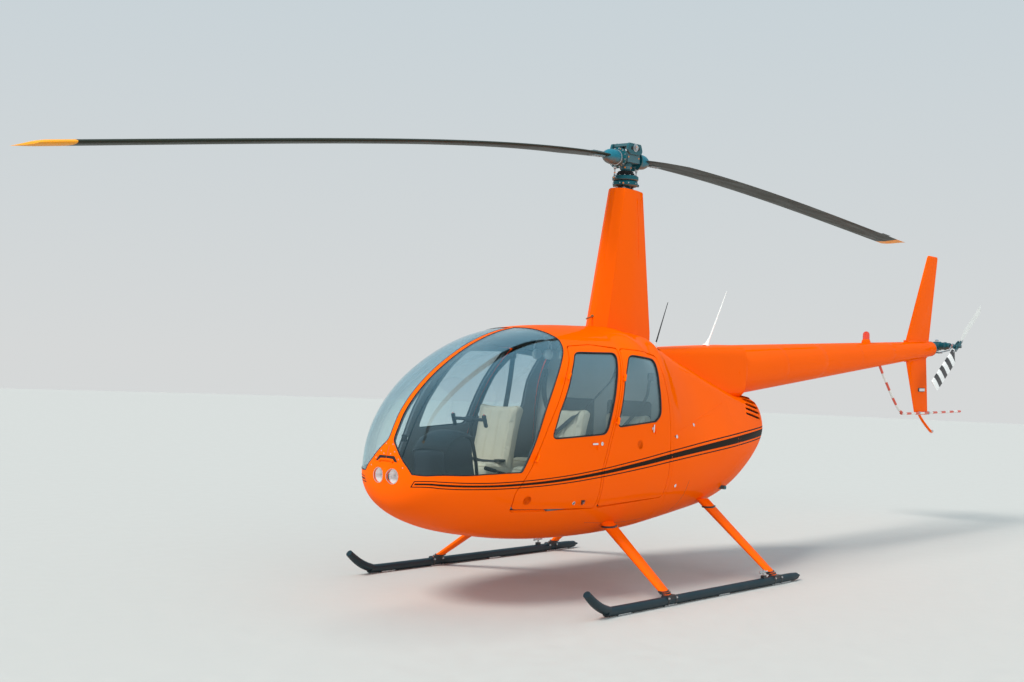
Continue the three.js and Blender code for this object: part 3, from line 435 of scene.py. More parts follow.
def piece(name, shapes, materials, body="airframe", replaces=(), slot=None, bevel=0.0, sharp=35,
          flip=False):
    """One visual piece from several shapes, moved to the row's frame and set to ride on its body."""
    if flip:
        shapes = [shape.mirrored() for shape in shapes]
    points = np.concatenate([shape.points for shape in shapes]) + (MAST_X, 0, 0)
    faces, slots, start = [], [], 0
    for shape in shapes:
        faces += [tuple(i + start for i in face) for face in shape.faces]
        slots += [shape.slot] * len(shape.faces)
        start += len(shape.points)
    mesh = bpy.data.meshes.new(name)
    mesh.from_pydata(points.tolist(), [], faces)
    materials = materials if isinstance(materials, (list, tuple)) else [materials]
    for material in materials:
        mesh.materials.append(material)
    mesh.polygons.foreach_set("material_index", slots)
    length = mesh.attributes.new("along", "FLOAT", "POINT")
    length.data.foreach_set("value", np.concatenate([shape.along for shape in shapes]))
    shade_mesh(mesh, shapes, sharp)
    made = added(name, mesh)
    if bevel:
        edge = made.modifiers.new("rounding", "BEVEL")
        edge.width = bevel
        edge.segments = 2
        edge.limit_method = "ANGLE"
        edge.angle_limit = math.radians(40)
        edge.harden_normals = True
    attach(made, body)
    if replaces:
        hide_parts(*([replaces] if isinstance(replaces, str) else replaces))
    slot = slot or SLOT_OF[materials[0]]
    return made


def loft(rings, closed=True, caps=True, slot=0, along=None):
    """A skin over rings of points, each with the same count."""
    rings = np.asarray(rings, float)
    count, sides = rings.shape[:2]
    faces = []
    for ring in range(count - 1):
        for side in range(sides if closed else sides - 1):
            a, b = ring * sides + side, ring * sides + (side + 1) % sides
            faces.append((a, b, b + sides, a + sides))
    if caps and closed:
        faces.append(tuple(range(sides))[::-1])
        faces.append(tuple(range((count - 1) * sides, count * sides)))
    lengths = None if along is None else np.repeat(along, sides)
    return Shape(rings.reshape(-1, 3), faces, None, slot, lengths)


def curve(p0, p1, p2, p3, t):
    """A smooth curve from p1 to p2, steered by the points before and after them."""
    return 0.5 * (2 * p1 + (p2 - p0) * t + (2 * p0 - 5 * p1 + 4 * p2 - p3) * t**2
                  + (3 * p1 - p0 - 3 * p2 + p3) * t**3)


def bend(start, corner, end, t):
    """A curve from start to end that leans toward the corner."""
    return (1 - t) ** 2 * start + 2 * t * (1 - t) * corner + t * t * end


def lengths_along(points):
    """The distance from the first point to each point along the line."""
    return np.concatenate([[0], np.cumsum(np.linalg.norm(np.diff(points, axis=0), axis=1))])


def aimed(at, toward):
    """The matrix that sets a shape's Z axis at a point, turned one way."""
    return Matrix.Translation(at) @ Vector((0, 0,
                                            1)).rotation_difference(Vector(toward)).to_matrix().to_4x4()


def smooth_line(points, step):
    """A smooth curve through points in any number of dimensions, sampled about every step."""
    points = np.asarray(points, float)
    padded = np.concatenate([2 * points[:1] - points[1:2], points, 2 * points[-1:] - points[-2:-1]])
    made = [points[0]]
    for p0, p1, p2, p3 in zip(padded, padded[1:], padded[2:], padded[3:]):
        count = max(1, math.ceil(np.linalg.norm(p2 - p1) / step))
        made += [curve(p0, p1, p2, p3, t) for t in np.arange(1, count + 1) / count]
    return np.array(made)


def tube(points, radius, sides=12, slot=0, caps=True, closed=False):
    """A round tube along points. radius is one number or one for each point."""
    points = np.asarray(points, float)
    radii = np.broadcast_to(radius, len(points)).tolist()
    ahead = np.roll(points, -1, 0) - np.roll(points, 1, 0)
    if not closed:
        ahead[0], ahead[-1] = points[1] - points[0], points[-1] - points[-2]
    rings, side = [], None
    for point, way, r in zip(points, ahead, radii):
        way = Vector(way).normalized()
        if side is None:
            side = way.orthogonal().normalized()
        side = (side - way * side.dot(way)).normalized()
        up = way.cross(side)
        turns = [2 * math.pi * k / sides for k in range(sides)]
        rings.append([Vector(point) + r * (math.cos(a) * side + math.sin(a) * up) for a in turns])
    lengths = lengths_along(points)
    if closed:
        rings.append(rings[0])
        lengths = np.append(lengths, 0)
    return loft(rings, caps=caps and not closed, slot=slot, along=lengths)


def lathe(profile, at=(0, 0, 0), toward=(0, 0, 1), steps=28, slot=0):
    """A round shape: profile of (radius, height) about an axis from at."""
    angles = np.arange(steps) * 2 * math.pi / steps
    rings = [[(r * math.cos(a), r * math.sin(a), h) for a in angles] for r, h in profile]
    return loft(rings, slot=slot).moved(aimed(at, toward))


def rod(start, end, radius, end_radius=None, sides=16, slot=0):
    return tube([start, end], [radius, radius if end_radius is None else end_radius], sides, slot)


def box(low, high, slot=0):
    (x0, y0, z0), (x1, y1, z1) = low, high
    ring = [(x0, y0), (x1, y0), (x1, y1), (x0, y1)]
    return loft([[(x, y, z) for x, y in ring] for z in (z0, z1)], slot=slot)


def prism(outline, low, high, axis="y", slot=0):
    """An outline pushed from low to high along one axis. The outline holds the other two."""
    place = {"x": lambda a, b, h: (h, a, b), "y": lambda a, b, h: (a, h, b), "z": lambda a, b, h: (a, b, h)}
    return loft([[place[axis](a, b, h) for a, b in outline] for h in (low, high)], slot=slot)


def bolt(at, toward, radius=0.008, height=0.006, slot=0):
    """A washer and a six-sided head."""
    at, toward = Vector(at), Vector(toward).normalized()
    washer = rod(at, at + toward * 0.002, radius * 1.35, slot=slot)
    head = rod(at, at + toward * (0.002 + height), radius, sides=6, slot=slot)
    return [washer, head]


def domes(places, radius=0.0042, slot=0):
    """Rivet heads at (point, normal) places, as one shape."""
    points, faces = [], []
    for at, normal in places:
        at, normal = Vector(at), Vector(normal).normalized()
        side = normal.orthogonal().normalized()
        up = normal.cross(side)
        start = len(points)
        for share, lift in ((1.0, -0.0003), (0.7, 0.0008)):
            for k in range(6):
                a = k * math.pi / 3
                points.append(at + normal * lift + (math.cos(a) * side + math.sin(a) * up) * radius * share)
        points.append(at + normal * 0.0012)
        for k in range(6):
            n = (k + 1) % 6
            faces.append((start + k, start + n, start + 6 + n, start + 6 + k))
            faces.append((start + 6 + k, start + 6 + n, start + 12))
    return Shape(points, faces, slot=slot)


def corner_curve(before, corner, after, radius, count=7):
    """Points of one rounded corner."""
    start = corner.lerp(before, min(0.45, radius / (corner - before).length))
    end = corner.lerp(after, min(0.45, radius / (corner - after).length))
    return [bend(start, corner, end, k / (count - 1)) for k in range(count)]


def rounded(points, radius, step=0.02):
    """A closed outline with its sharp corners rounded and its long edges divided."""
    corners = [Vector(p) for p in points]
    line = []
    for i, corner in enumerate(corners):
        before, after = corners[i - 1], corners[(i + 1) % len(corners)]
        if (corner - before).angle(after - corner) <= math.radians(35):
            line.append(corner)
        else:
            line += corner_curve(before, corner, after, radius)
    made = []
    for a, b in zip(line, line[1:] + line[:1]):
        count = max(1, math.ceil((b - a).length / step))
        made += [a.lerp(b, k / count) for k in range(count)]
    return np.array(made)


def rectangle(low, high, radius, step=0.02):
    """A rectangle's outline with rounded corners, from one corner to the opposite one."""
    (x0, y0), (x1, y1) = low, high
    return rounded([(x0, y0), (x1, y0), (x1, y1), (x0, y1)], radius, step)


def inset(points, distance):
    """The same outline drawn smaller, its corners moved in along their bisectors."""
    points = np.asarray(points, float)
    after, before = np.roll(points, -1, 0), np.roll(points, 1, 0)
    area = np.sum(points[:, 0] * after[:, 1] - after[:, 0] * points[:, 1])
    inward = 1 if area > 0 else -1

    def normal(a, b):
        way = (b - a) / np.linalg.norm(b - a, axis=1, keepdims=True)
        return inward * np.stack([-way[:, 1], way[:, 0]], 1)

    n0, n1 = normal(before, points), normal(points, after)
    return points + (n0 + n1) * (distance / (1 + np.sum(n0 * n1, 1)))[:, None]


# Fuselage skin, the same form as in the CAD source. Columns: x, bottom, top, half width,
# widest height, upper power, lower power, ridge half width, ridge height, ridge share
BODY = np.array([
    (2.425, 0.790, 0.870, 0.030, 0.830, 2.0, 2.0, 0, 0, 0),
    (2.405, 0.705, 0.990, 0.170, 0.830, 2.1, 2.0, 0, 0, 0),
    (2.360, 0.630, 1.100, 0.270, 0.830, 2.3, 2.0, 0, 0, 0),
    (2.280, 0.570, 1.245, 0.360, 0.840, 2.5, 2.0, 0, 0, 0),
    (2.140, 0.510, 1.395, 0.455, 0.850, 2.6, 2.05, 0, 0, 0),
    (1.950, 0.455, 1.538, 0.535, 0.870, 2.7, 2.15, 0, 0, 0),
    (1.700, 0.410, 1.675, 0.595, 0.890, 2.75, 2.3, 0, 0, 0),
    (1.420, 0.375, 1.776, 0.635, 0.920, 2.8, 2.4, 0, 0, 0),
    (1.100, 0.355, 1.830, 0.655, 0.950, 2.8, 2.5, 0, 0, 0),
    (0.700, 0.350, 1.850, 0.660, 0.970, 2.8, 2.5, 0, 0, 0),
    (0.300, 0.365, 1.840, 0.655, 0.980, 2.8, 2.5, 0.380, 1.740, 0),
    (0.000, 0.395, 1.790, 0.640, 0.990, 2.6, 2.5, 0.360, 1.720, 0.6),
    (-0.400, 0.435, 1.640, 0.600, 1.000, 2.3, 2.4, 0.345, 1.605, 1),
    (-0.800, 0.480, 1.515, 0.540, 1.020, 2.1, 2.3, 0.330, 1.485, 1),
    (-1.150, 0.560, 1.415, 0.460, 1.050, 2.0, 2.2, 0.310, 1.385, 1),
    (-1.450, 0.690, 1.385, 0.375, 1.080, 2.1, 2.1, 0.270, 1.330, 0.8),
    (-1.650, 0.820, 1.380, 0.300, 1.100, 2.4, 2.0, 0.220, 1.310, 0.5),
    (-1.780, 0.950, 1.325, 0.205, 1.110, 2.5, 2.0, 0.150, 1.265, 0.3),
    (-1.840, 1.050, 1.200, 0.050, 1.120, 2.0, 2.0, 0.030, 1.160, 0),
])
LAST_ROW = len(BODY) - 1
NOSE_CAP = 0.006  # how far the closed tip stands beyond the end rows
TURN, ROUND = 0.62, 0.12  # where the flank meets the ridge, and how softly


def section(row):
    """Values between the table's rows, by a smooth curve through each column."""
    row = np.clip(row, 0, LAST_ROW)
    i = np.minimum(row.astype(int), LAST_ROW - 1)
    t = (row - i)[:, None]
    p0, p1, p2, p3 = (BODY[np.clip(i + k, 0, LAST_ROW)] for k in (-1, 0, 1, 2))
    return curve(p0, p1, p2, p3, t).T


def ridge_point(share, top, width, middle, ridge_y, ridge_z):
    """The ridged top: flank to ridge, a rounded corner, then ridge to centre line."""
    def flank(f):
        return width + (ridge_y - width) * f / TURN, middle + (ridge_z - middle) * f / TURN

    def roof(f):
        left = (1 - f) / (1 - TURN)
        return ridge_y * left, top + (ridge_z - top) * left

    t = (share - TURN + ROUND) / (2 * ROUND)
    start, end = flank(TURN - ROUND), roof(TURN + ROUND)
    made = []
    for k, corner in enumerate((ridge_y, ridge_z)):
        between = bend(start[k], corner, end[k], t)
        made.append(np.where(share < TURN - ROUND, flank(share)[k],
                             np.where(share > TURN + ROUND, roof(share)[k], between)))
    return made


def skin(row, angle):
    """Points of the skin: angle -90 degrees is the keel, 0 the port side, 90 the top."""
    row, angle = np.broadcast_arrays(np.asarray(row, float), np.asarray(angle, float))
    row, angle = row.ravel(), angle.ravel()
    x, bottom, top, width, middle, upper, lower, ridge_y, ridge_z, ridge = section(row)
    over = np.abs(angle) > math.pi / 2
    around = np.where(over, np.sign(angle) * math.pi - angle, angle)
    c, s = np.abs(np.cos(around)), np.sin(around)
    power = np.where(s >= 0, upper, lower)
    height = np.where(s >= 0, top - middle, middle - bottom)
    y = width * c ** (2 / power)
    z = middle + height * np.sign(s) * np.abs(s) ** (2 / power)
    flat_y, flat_z = ridge_point(around / (math.pi / 2), top, width, middle, ridge_y, ridge_z)
    blend = np.where(s > 0, ridge, 0)
    y, z = y + (flat_y - y) * blend, z + (flat_z - z) * blend
    beyond = np.maximum(np.maximum(-row, row - LAST_ROW), 0)
    left = np.clip(1 - beyond, 0, 1)
    x = x + np.sign(-row) * NOSE_CAP * (1 - left**2)
    return np.stack([x, np.where(over, -y, y) * left, middle + (z - middle) * left], 1)


def skin_normal(row, angle):
    """Outward normals of the skin."""
    step = 0.012
    along = skin(row + step, angle) - skin(row - step, angle)
    around = skin(row, angle + step) - skin(row, angle - step)
    made = np.cross(along, around)
    return made / np.maximum(np.linalg.norm(made, axis=1, keepdims=True), 1e-12)


# The skin laid flat: metres along the body and round it, so that outlines and grids are even
FINE_ROWS = np.linspace(-1, LAST_ROW + 1, 1600)
lines = [skin(FINE_ROWS, math.radians(a)) for a in (-60, 0, 60)]
steps = [np.linalg.norm(np.diff(line, axis=0), axis=1) for line in lines]
ALONG = np.concatenate([[0], np.cumsum(np.max(steps, axis=0) + 1e-6)])
FINE_ANGLES = np.linspace(-math.pi / 2, math.pi / 2, 1441)
girth = np.linalg.norm(np.diff(skin(8.0, FINE_ANGLES), axis=0), axis=1)
AROUND = np.concatenate([[0], np.cumsum(girth + 1e-6)])


def to_flat(row, angle):
    return np.stack([np.interp(row, FINE_ROWS, ALONG), np.interp(angle, FINE_ANGLES, AROUND)], -1)


def from_flat(flat):
    flat = np.asarray(flat)
    return np.interp(flat[:, 0], ALONG, FINE_ROWS), np.interp(flat[:, 1], AROUND, FINE_ANGLES)


def solve(rising, low, high, target):
    """Where a rising function meets its target, by halving."""
    low, high = np.full(len(target), float(low)), np.full(len(target), float(high))
    for _ in range(40):
        middle = (low + high) / 2
        under = rising(middle) < target
        low, high = np.where(under, middle, low), np.where(under, high, middle)
    return (low + high) / 2


def row_at(x):
    return solve(lambda row: -section(row)[0], 0, LAST_ROW, -np.asarray(x, float))


def angle_at(row, z):
    return solve(lambda angle: skin(row, angle)[:, 2], -math.pi / 2, math.pi / 2, z)


def on_side(places):
    """Flat places of skin points given as X and Z."""
    places = np.asarray(places, float)
    row = row_at(places[:, 0])
    return to_flat(row, angle_at(row, places[:, 1]))


def on_top(places):
    """Flat places of skin points on the upper side given as X and Y."""
    places = np.asarray(places, float)
    row = row_at(places[:, 0])
    return to_flat(row, solve(lambda angle: -skin(row, angle)[:, 1], 0, math.pi / 2, -places[:, 1]))


def on_nose(places):
    """Flat places of skin points near the nose given as Y and Z."""
    places = np.asarray(places, float)
    row = solve(lambda r: skin(r, angle_at(r, places[:, 1]))[:, 1], -0.99, 8, places[:, 0])
    return to_flat(row, angle_at(row, places[:, 1]))


def on_skin(flat, depth=0.0):
    """Points and normals at flat places, moved in by a depth."""
    row, angle = from_flat(flat)
    normals = skin_normal(row, angle)
    return skin(row, angle) - normals * np.reshape(depth, (-1, 1)), normals


def inside(points, loops):
    """True where a point is inside an odd number of the loops."""
    odd = np.zeros(len(points), bool)
    for loop in loops:
        for (ax, ay), (bx, by) in zip(loop, np.roll(loop, -1, 0)):
            if ay == by:
                continue
            spans = (ay > points[:, 1]) != (by > points[:, 1])
            odd ^= spans & (points[:, 0] < (bx - ax) * (points[:, 1] - ay) / (by - ay) + ax)
    return odd


def signed_area(loop):
    """Positive where a flat loop runs counterclockwise."""
    after = np.roll(loop, -1, 0)
    return np.sum(loop[:, 0] * after[:, 1] - after[:, 0] * loop[:, 1]) / 2


def cut_wall(loop, depth, thick, slot):
    """The wall along one cut edge, left open where the edge lies on the centre line."""
    low, high = AROUND[0] + 1e-4, AROUND[-1] - 1e-4
    walls, faces, normals = [], [], []
    out, _ = on_skin(loop, depth)
    back, _ = on_skin(loop, depth + thick)
    for a in range(len(loop)):
        b = (a + 1) % len(loop)
        if max(loop[a, 1], loop[b, 1]) < low or min(loop[a, 1], loop[b, 1]) > high:
            continue
        corners = np.array([out[a], back[a], back[b], out[b]])
        facing = np.cross(corners[1] - corners[0], corners[3] - corners[0])
        facing /= max(np.linalg.norm(facing), 1e-12)
        faces.append(tuple(range(len(walls), len(walls) + 4)))
        walls += list(corners)
        normals += [facing] * 4
    return Shape(walls, faces, np.array(normals), slot)


def panel(outline, holes=(), depth=0.0, thick=WALL, spacing=0.026, inner_slot=1, hole_slots=()):
    """A piece of the skin with its thickness: outer face, inner face, and walls along its cut edges."""
    loops = [outline if signed_area(outline) > 0 else outline[::-1]]
    loops += [hole[::-1] if signed_area(hole) > 0 else hole for hole in holes]
    low, high = outline.min(0), outline.max(0)
    across, up = np.arange(low[0], high[0], spacing), np.arange(low[1], high[1], spacing)
    grid = np.stack(np.meshgrid(across, up), -1).reshape(-1, 2) + spacing * 0.37
    rim = np.concatenate(loops)
    grid = grid[inside(grid, loops)]
    near = np.array([np.min(np.sum((rim - place) ** 2, 1)) for place in grid]) < (spacing * 0.35) ** 2
    flat = np.concatenate([rim, grid[~near]])
    edges, start = [], 0
    for loop in loops:
        count = len(loop)
        edges += [(start + k, start + (k + 1) % count) for k in range(count)]
        start += count
    made, _, faces, *_ = delaunay_2d_cdt([Vector(p) for p in flat], edges, [], 0, 1e-7)
    flat = np.array([tuple(p) for p in made])
    faces = np.array([face if signed_area(flat[list(face)]) > 0 else face[::-1] for face in faces])
    faces = faces[inside(flat[faces].mean(1), loops)]
    outer, normals = on_skin(flat, depth)
    inner, _ = on_skin(flat, depth + thick)
    shapes = [Shape(outer, faces, normals)]
    shapes.append(Shape(inner, faces[:, ::-1], -normals, inner_slot))
    for number, loop in enumerate(loops):
        edge_slot = hole_slots[number - 1] if 0 < number <= len(hole_slots) else 0
        shapes.append(cut_wall(loop, depth, thick, edge_slot))
    return shapes


def place_all(shapes, matrix):
    return [shape.moved(matrix) for shape in shapes]


def both(shapes):
    """Shapes of the port side with their mirrored twins."""
    return list(shapes) + [shape.mirrored() for shape in shapes]


def strip(flat, radius, depth=0.0, closed=True, slot=0):
    """A round bead along flat places of the skin."""
    points, _ = on_skin(flat, depth)
    return tube(points, radius, 8, slot, closed=closed)


def rivet_row(flat, pitch, depth=0.0):
    """Evenly spaced places along a flat line, as points with normals."""
    points, normals = on_skin(flat, depth)
    lengths = lengths_along(points)
    marks = np.arange(pitch / 2, lengths[-1], pitch)
    at = np.stack([np.interp(marks, lengths, points[:, k]) for k in range(3)], 1)
    way = np.stack([np.interp(marks, lengths, normals[:, k]) for k in range(3)], 1)
    return list(zip(at, way))


# Cabin outlines, port side. Seen from the side they are X and Z, as in the CAD source
FRONT_DOOR = ((1.219, 1.692), (0.980, 1.711), (0.690, 1.697), (0.857, 1.338), (0.971, 1.069),
              (1.040, 0.870), (1.030, 0.605), (1.800, 0.612), (1.818, 0.740), (1.712, 0.900),
              (1.566, 1.173), (1.352, 1.497), (1.262, 1.612))
REAR_DOOR = ((0.675, 1.696), (0.430, 1.682), (0.245, 1.655), (0.232, 1.200), (0.232, 0.640), (1.010, 0.605),
             (1.020, 0.870), (0.952, 1.069), (0.838, 1.338))
FRONT_WINDOW = ((1.180, 1.655), (0.740, 1.662), (0.855, 1.439), (0.983, 1.149), (1.015, 1.106),
                (1.545, 1.080), (1.464, 1.256), (1.281, 1.531))
REAR_WINDOW = ((0.615, 1.655), (0.300, 1.628), (0.345, 1.445), (0.360, 1.230), (0.430, 1.186),
               (0.890, 1.150), (0.752, 1.475))
DOOR_ROUND, WINDOW_ROUND = 0.03, 0.05
TOP_BACK_CORNER = 2
DOOR_EASE = (0.009, -0.005)
SILL = {"front": (1.45, 1.9, 0.634), "rear": (0.85, 1.035, 0.62)}  # X range and height of the cut heel
FRONT_HINGE = ((1.679, 0.622, 0.959), (1.368, 0.606, 1.487))
REAR_HINGE = ((0.898, 0.674, 1.196), (0.768, 0.622, 1.491))
DOORS = (("front", FRONT_DOOR, FRONT_WINDOW, FRONT_HINGE), ("rear", REAR_DOOR, REAR_WINDOW, REAR_HINGE))

# Windshield pane: along the bow strip, down the nose piece, along the sill, and up its back edge
STRIP_HALF = 0.02
BOW = ((1.262, STRIP_HALF), (1.5, STRIP_HALF), (1.9, STRIP_HALF), (2.2, STRIP_HALF), (2.3, STRIP_HALF))
NOSE_PIECE = ((STRIP_HALF, 1.085), (0.032, 1.045), (0.089, 0.983), (0.136, 0.930), (0.180, 0.886),
              (0.205, 0.853))
PANE_SILL = ((2.375, 0.8505), (2.334, 0.8515), (2.192, 0.856), (2.014, 0.864), (1.79, 0.8715))
PANE_BACK = ((1.776, 0.880), (1.685, 1.046), (1.584, 1.256), (1.471, 1.430), (1.363, 1.561), (1.276, 1.655),
             (1.236, 1.715))
PANE_ROOF = ((1.226, 0.38), (1.240, 0.31), (1.252, 0.2), (1.262, STRIP_HALF))


def pane_loop(distance=0.0):
    """The windshield pane's outline laid flat, drawn in by a distance."""
    parts = [on_top(BOW), on_nose(NOSE_PIECE), on_side(PANE_SILL), on_side(PANE_BACK),
             on_top(PANE_ROOF[:-1])]
    back = smooth_line(np.concatenate([parts[3], parts[4], on_top(PANE_ROOF[-1:])]), 0.015)[:-1]
    front = smooth_line(np.concatenate([parts[0], parts[1][:1]]), 0.02)[:-1]
    nose = smooth_line(parts[1], 0.012)
    loop = np.concatenate([front, nose, smooth_line(parts[2], 0.02), back])
    return inset(loop, distance) if distance else loop


def side_loop(points, radius, distance=0.0):
    """An outline seen from the side, drawn in, rounded and laid flat."""
    return on_side(rounded(inset(points, distance), radius))


def door_points(row, outline):
    """The door leaf's outline: eased at its top back corner and cut above the sill at its front."""
    moved = [(x + DOOR_EASE[0], z + DOOR_EASE[1]) if i == TOP_BACK_CORNER else (x, z)
             for i, (x, z) in enumerate(outline)]
    low, high, height = SILL[row]
    leaf = inset(moved, DOOR_GAP)
    return np.array([(x, max(z, height)) if low < x < high else (x, z) for x, z in leaf])


def half_band(front_row, back_row):
    """The flat rectangle of the skin's port half between two rows."""
    low, high = to_flat(front_row, -math.pi / 2), to_flat(back_row, math.pi / 2)
    across = np.arange(low[0], high[0], 0.02)
    up = np.arange(low[1], high[1], 0.02)
    corners = [[(s, low[1]) for s in across], [(high[0], t) for t in up],
               [(s, high[1]) for s in (across + high[0] - across[-1])[::-1]],
               [(low[0], t) for t in up[::-1] + 0.01]]
    return np.concatenate([np.array(c) for c in corners])


LAMP = {"x": 2.352, "y": 0.062, "z": 0.832, "radius": 0.048}


def lamp_loop(radius):
    """A circle round the landing lamp, laid flat."""
    turn = np.linspace(0, 2 * math.pi, 40, endpoint=False)
    return on_nose(np.stack([LAMP["y"] + radius * np.cos(turn), LAMP["z"] + radius * np.sin(turn)], 1))


def cabin():
    """The shell with its openings, the windshields, and the doors with their windows and seals."""
    back_row = row_at([FIREWALL_X])[0]
    outline = half_band(-0.98, back_row)
    holes = [pane_loop(), side_loop(FRONT_DOOR, DOOR_ROUND), side_loop(REAR_DOOR, DOOR_ROUND),
             lamp_loop(LAMP["radius"])]
    shapes = both(panel(outline, holes, hole_slots=(1,)))
    piece("cabin_skin", shapes, [STRIPED, LINING], replaces="cabin_shell")
    glass = panel(pane_loop(0.0008), depth=0.001, thick=PANE - 0.001, inner_slot=0)
    for side, flip, _ in SIDES:
        piece(f"windshield_pane_{side}", glass, GLASS, replaces=f"windshield_{side}", flip=flip)
        seal = [strip(pane_loop(0.002), 0.004, 0.002)]
        piece(f"windshield_seal_{side}", seal, RUBBER, flip=flip)
    for row, outline, window, _ in DOORS:
        seal = [strip(side_loop(outline, DOOR_ROUND), 0.0045, WALL + 0.0048)]
        piece(f"door_seals_{row}", both(seal), RUBBER)
        leaf = door_points(row, outline)
        shapes = panel(on_side(rounded(leaf, DOOR_ROUND)), [side_loop(window, WINDOW_ROUND)],
                       hole_slots=(1,))
        pane = panel(side_loop(window, WINDOW_ROUND, 0.001), depth=0.006, thick=PANE, inner_slot=0)
        seal = strip(side_loop(window, WINDOW_ROUND, 0.003), 0.006, 0.003)
        for side, flip, _ in SIDES:
            body = f"{row}_{side}_door"
            piece(f"door_skin_{row}_{side}", shapes, [STRIPED, LINING], body, f"door_{row}_{side}",
                  flip=flip)
            piece(f"door_window_{row}_{side}", pane, GLASS, body, f"window_{row}_{side}", flip=flip)
            piece(f"window_seal_{row}_{side}", [seal], RUBBER, body, flip=flip)


cabin()


# Cowls, fairings and boom

BELLY_OPENING = (-0.30, -0.82, 0.23)  # front x, back x, half width
# Columns: front X, back X, height of the middle
LOUVRES = ((-1.46, -1.66, 1.352), (-1.42, -1.655, 1.318), (-1.37, -1.64, 1.282), (-1.33, -1.625, 1.245),
           (-1.30, -1.595, 1.205))
LOUVRE_SLOPE, LOUVRE_HALF = 0.17, 0.0120
# The hood's section over a louvre, as height above its middle and height off the skin
HOOD = ((LOUVRE_HALF + 0.009, -0.0005), (LOUVRE_HALF + 0.003, 0.006), (LOUVRE_HALF * 0.3, 0.0105),
        (LOUVRE_HALF * 0.3 - 0.0015, 0.009), (LOUVRE_HALF, -0.003))


def on_belly(places):
    """Flat places of skin points on the lower side given as X and Y."""
    places = np.asarray(places, float)
    row = row_at(places[:, 0])
    return to_flat(row, solve(lambda angle: skin(row, angle)[:, 1], -math.pi / 2, 0, places[:, 1]))


def engine_cowl():
    """The cowl round the engine, open below."""
    rows = row_at([FIREWALL_X - 0.0015, TAIL_SEAM_X + 0.001])
    outline = half_band(*rows)
    front, back, half = BELLY_OPENING
    notch = [(front, 0.001), (front, half), (back, half), (back, 0.001)]
    notch = on_belly(np.concatenate([np.linspace(a, b, 16)[:-1] for a, b in zip(notch, notch[1:])]
                                    + [notch[-1:]]))
    notch[0, 1] = notch[-1, 1] = AROUND[0]
    keel = outline[:, 1] <= AROUND[0] + 1e-9
    before = outline[keel & (outline[:, 0] < notch[0, 0])]
    after = outline[keel & (outline[:, 0] > notch[-1, 0])]
    outline = np.concatenate([before, notch, after, outline[~keel]])
    shapes = both(panel(outline, thick=COWL_WALL))
    piece("engine_cowl_skin", shapes, [STRIPED, ALLOY], replaces="engine_cowl")


def louvre_line(front, back, z, depth):
    """A line along a louvre, bulging off the skin toward its middle."""
    x = np.linspace(front, back, 24)
    flat = on_side(np.stack([x, z + LOUVRE_SLOPE * (x - (front + back) / 2)], 1))
    share = np.sin(np.linspace(0, math.pi, 24)) ** 0.35
    return on_skin(flat, -depth * share)[0]


def tail_cowl():
    """The cowl behind the engine, with five hooded louvres a side."""
    outline = half_band(row_at([TAIL_SEAM_X])[0], LAST_ROW + 0.98)
    slots, lips = [], []
    for front, back, z in LOUVRES:
        rise = LOUVRE_SLOPE * (front - back) / 2
        corners = [(front, z + rise - LOUVRE_HALF), (front, z + rise + LOUVRE_HALF),
                   (back, z - rise + LOUVRE_HALF), (back, z - rise - LOUVRE_HALF)]
        slots.append(on_side(rounded(corners, 0.007)))
        rows = [louvre_line(front + 0.004, back - 0.004, z + up, depth) for up, depth in HOOD]
        lips.append(loft(rows, closed=False))
    shapes = both(panel(outline, slots, thick=COWL_WALL))
    piece("tail_cowl_skin", shapes, [STRIPED, ALLOY], replaces="tail_cowl")
    piece("louvre_lips", both(lips), PAINT, sharp=60)


def soft_ring(corners, radii, per_corner=6):
    """A closed outline with every corner rounded, always the same number of points."""
    corners = [Vector(c) for c in corners]
    radii = radii if isinstance(radii, (list, tuple)) else [radii] * len(corners)
    made = []
    for i, corner in enumerate(corners):
        before, after = corners[i - 1], corners[(i + 1) % len(corners)]
        made += corner_curve(before, corner, after, radii[i], per_corner)
    return made


# Columns: x, half width, bottom, top, corner radius
ROOT_FAIRING = ((-0.347, 0.148, 1.500, 1.722, 0.060), (-0.700, 0.190, 1.380, 1.742, 0.075),
                (-1.100, 0.212, 1.330, 1.765, 0.090), (-1.500, 0.218, 1.345, 1.786, 0.120))


def root_fairing():
    """The fairing that carries the boom out of the cowl."""
    rings = []
    for x, half, bottom, top, radius in smooth_line(ROOT_FAIRING, 0.05):
        ring = soft_ring([(half, bottom), (half, top), (-half, top), (-half, bottom)], radius, 8)
        rings.append([(x, y, z) for y, z in ring])
    lip = [[(x, y * 0.985, (z - 1.565) * 0.985 + 1.565) for x, y, z in rings[-1]]]
    inner = [[(x + 0.04, y, z) for x, y, z in lip[0]]]
    piece("boom_root_fairing_skin", [loft(rings + lip + inner, caps=False)], PAINT,
          replaces="boom_root_fairing", sharp=50)


# Columns: z, front x, back x, front half width, x of the chamfer, half width there, back half width
MAST_FAIRING = ((1.500, 0.430, -0.346, 0.030, 0.362, 0.125, 0.052),
                (1.840, 0.372, -0.346, 0.027, 0.304, 0.102, 0.044),
                (2.915, 0.153, -0.207, 0.022, 0.103, 0.078, 0.030))
MAST_FAIRING_WALL = 0.008
MAST_FAIRING_HEIGHTS = (1.70, 1.84, 2.1, 2.4, 2.7, 2.905, 2.915)
# Corner radii from the port front round the back to the starboard front
PYLON_SOFTNESS = (0.004, 0.004, 0.05, 0.035, 0.035, 0.05, 0.004, 0.004)


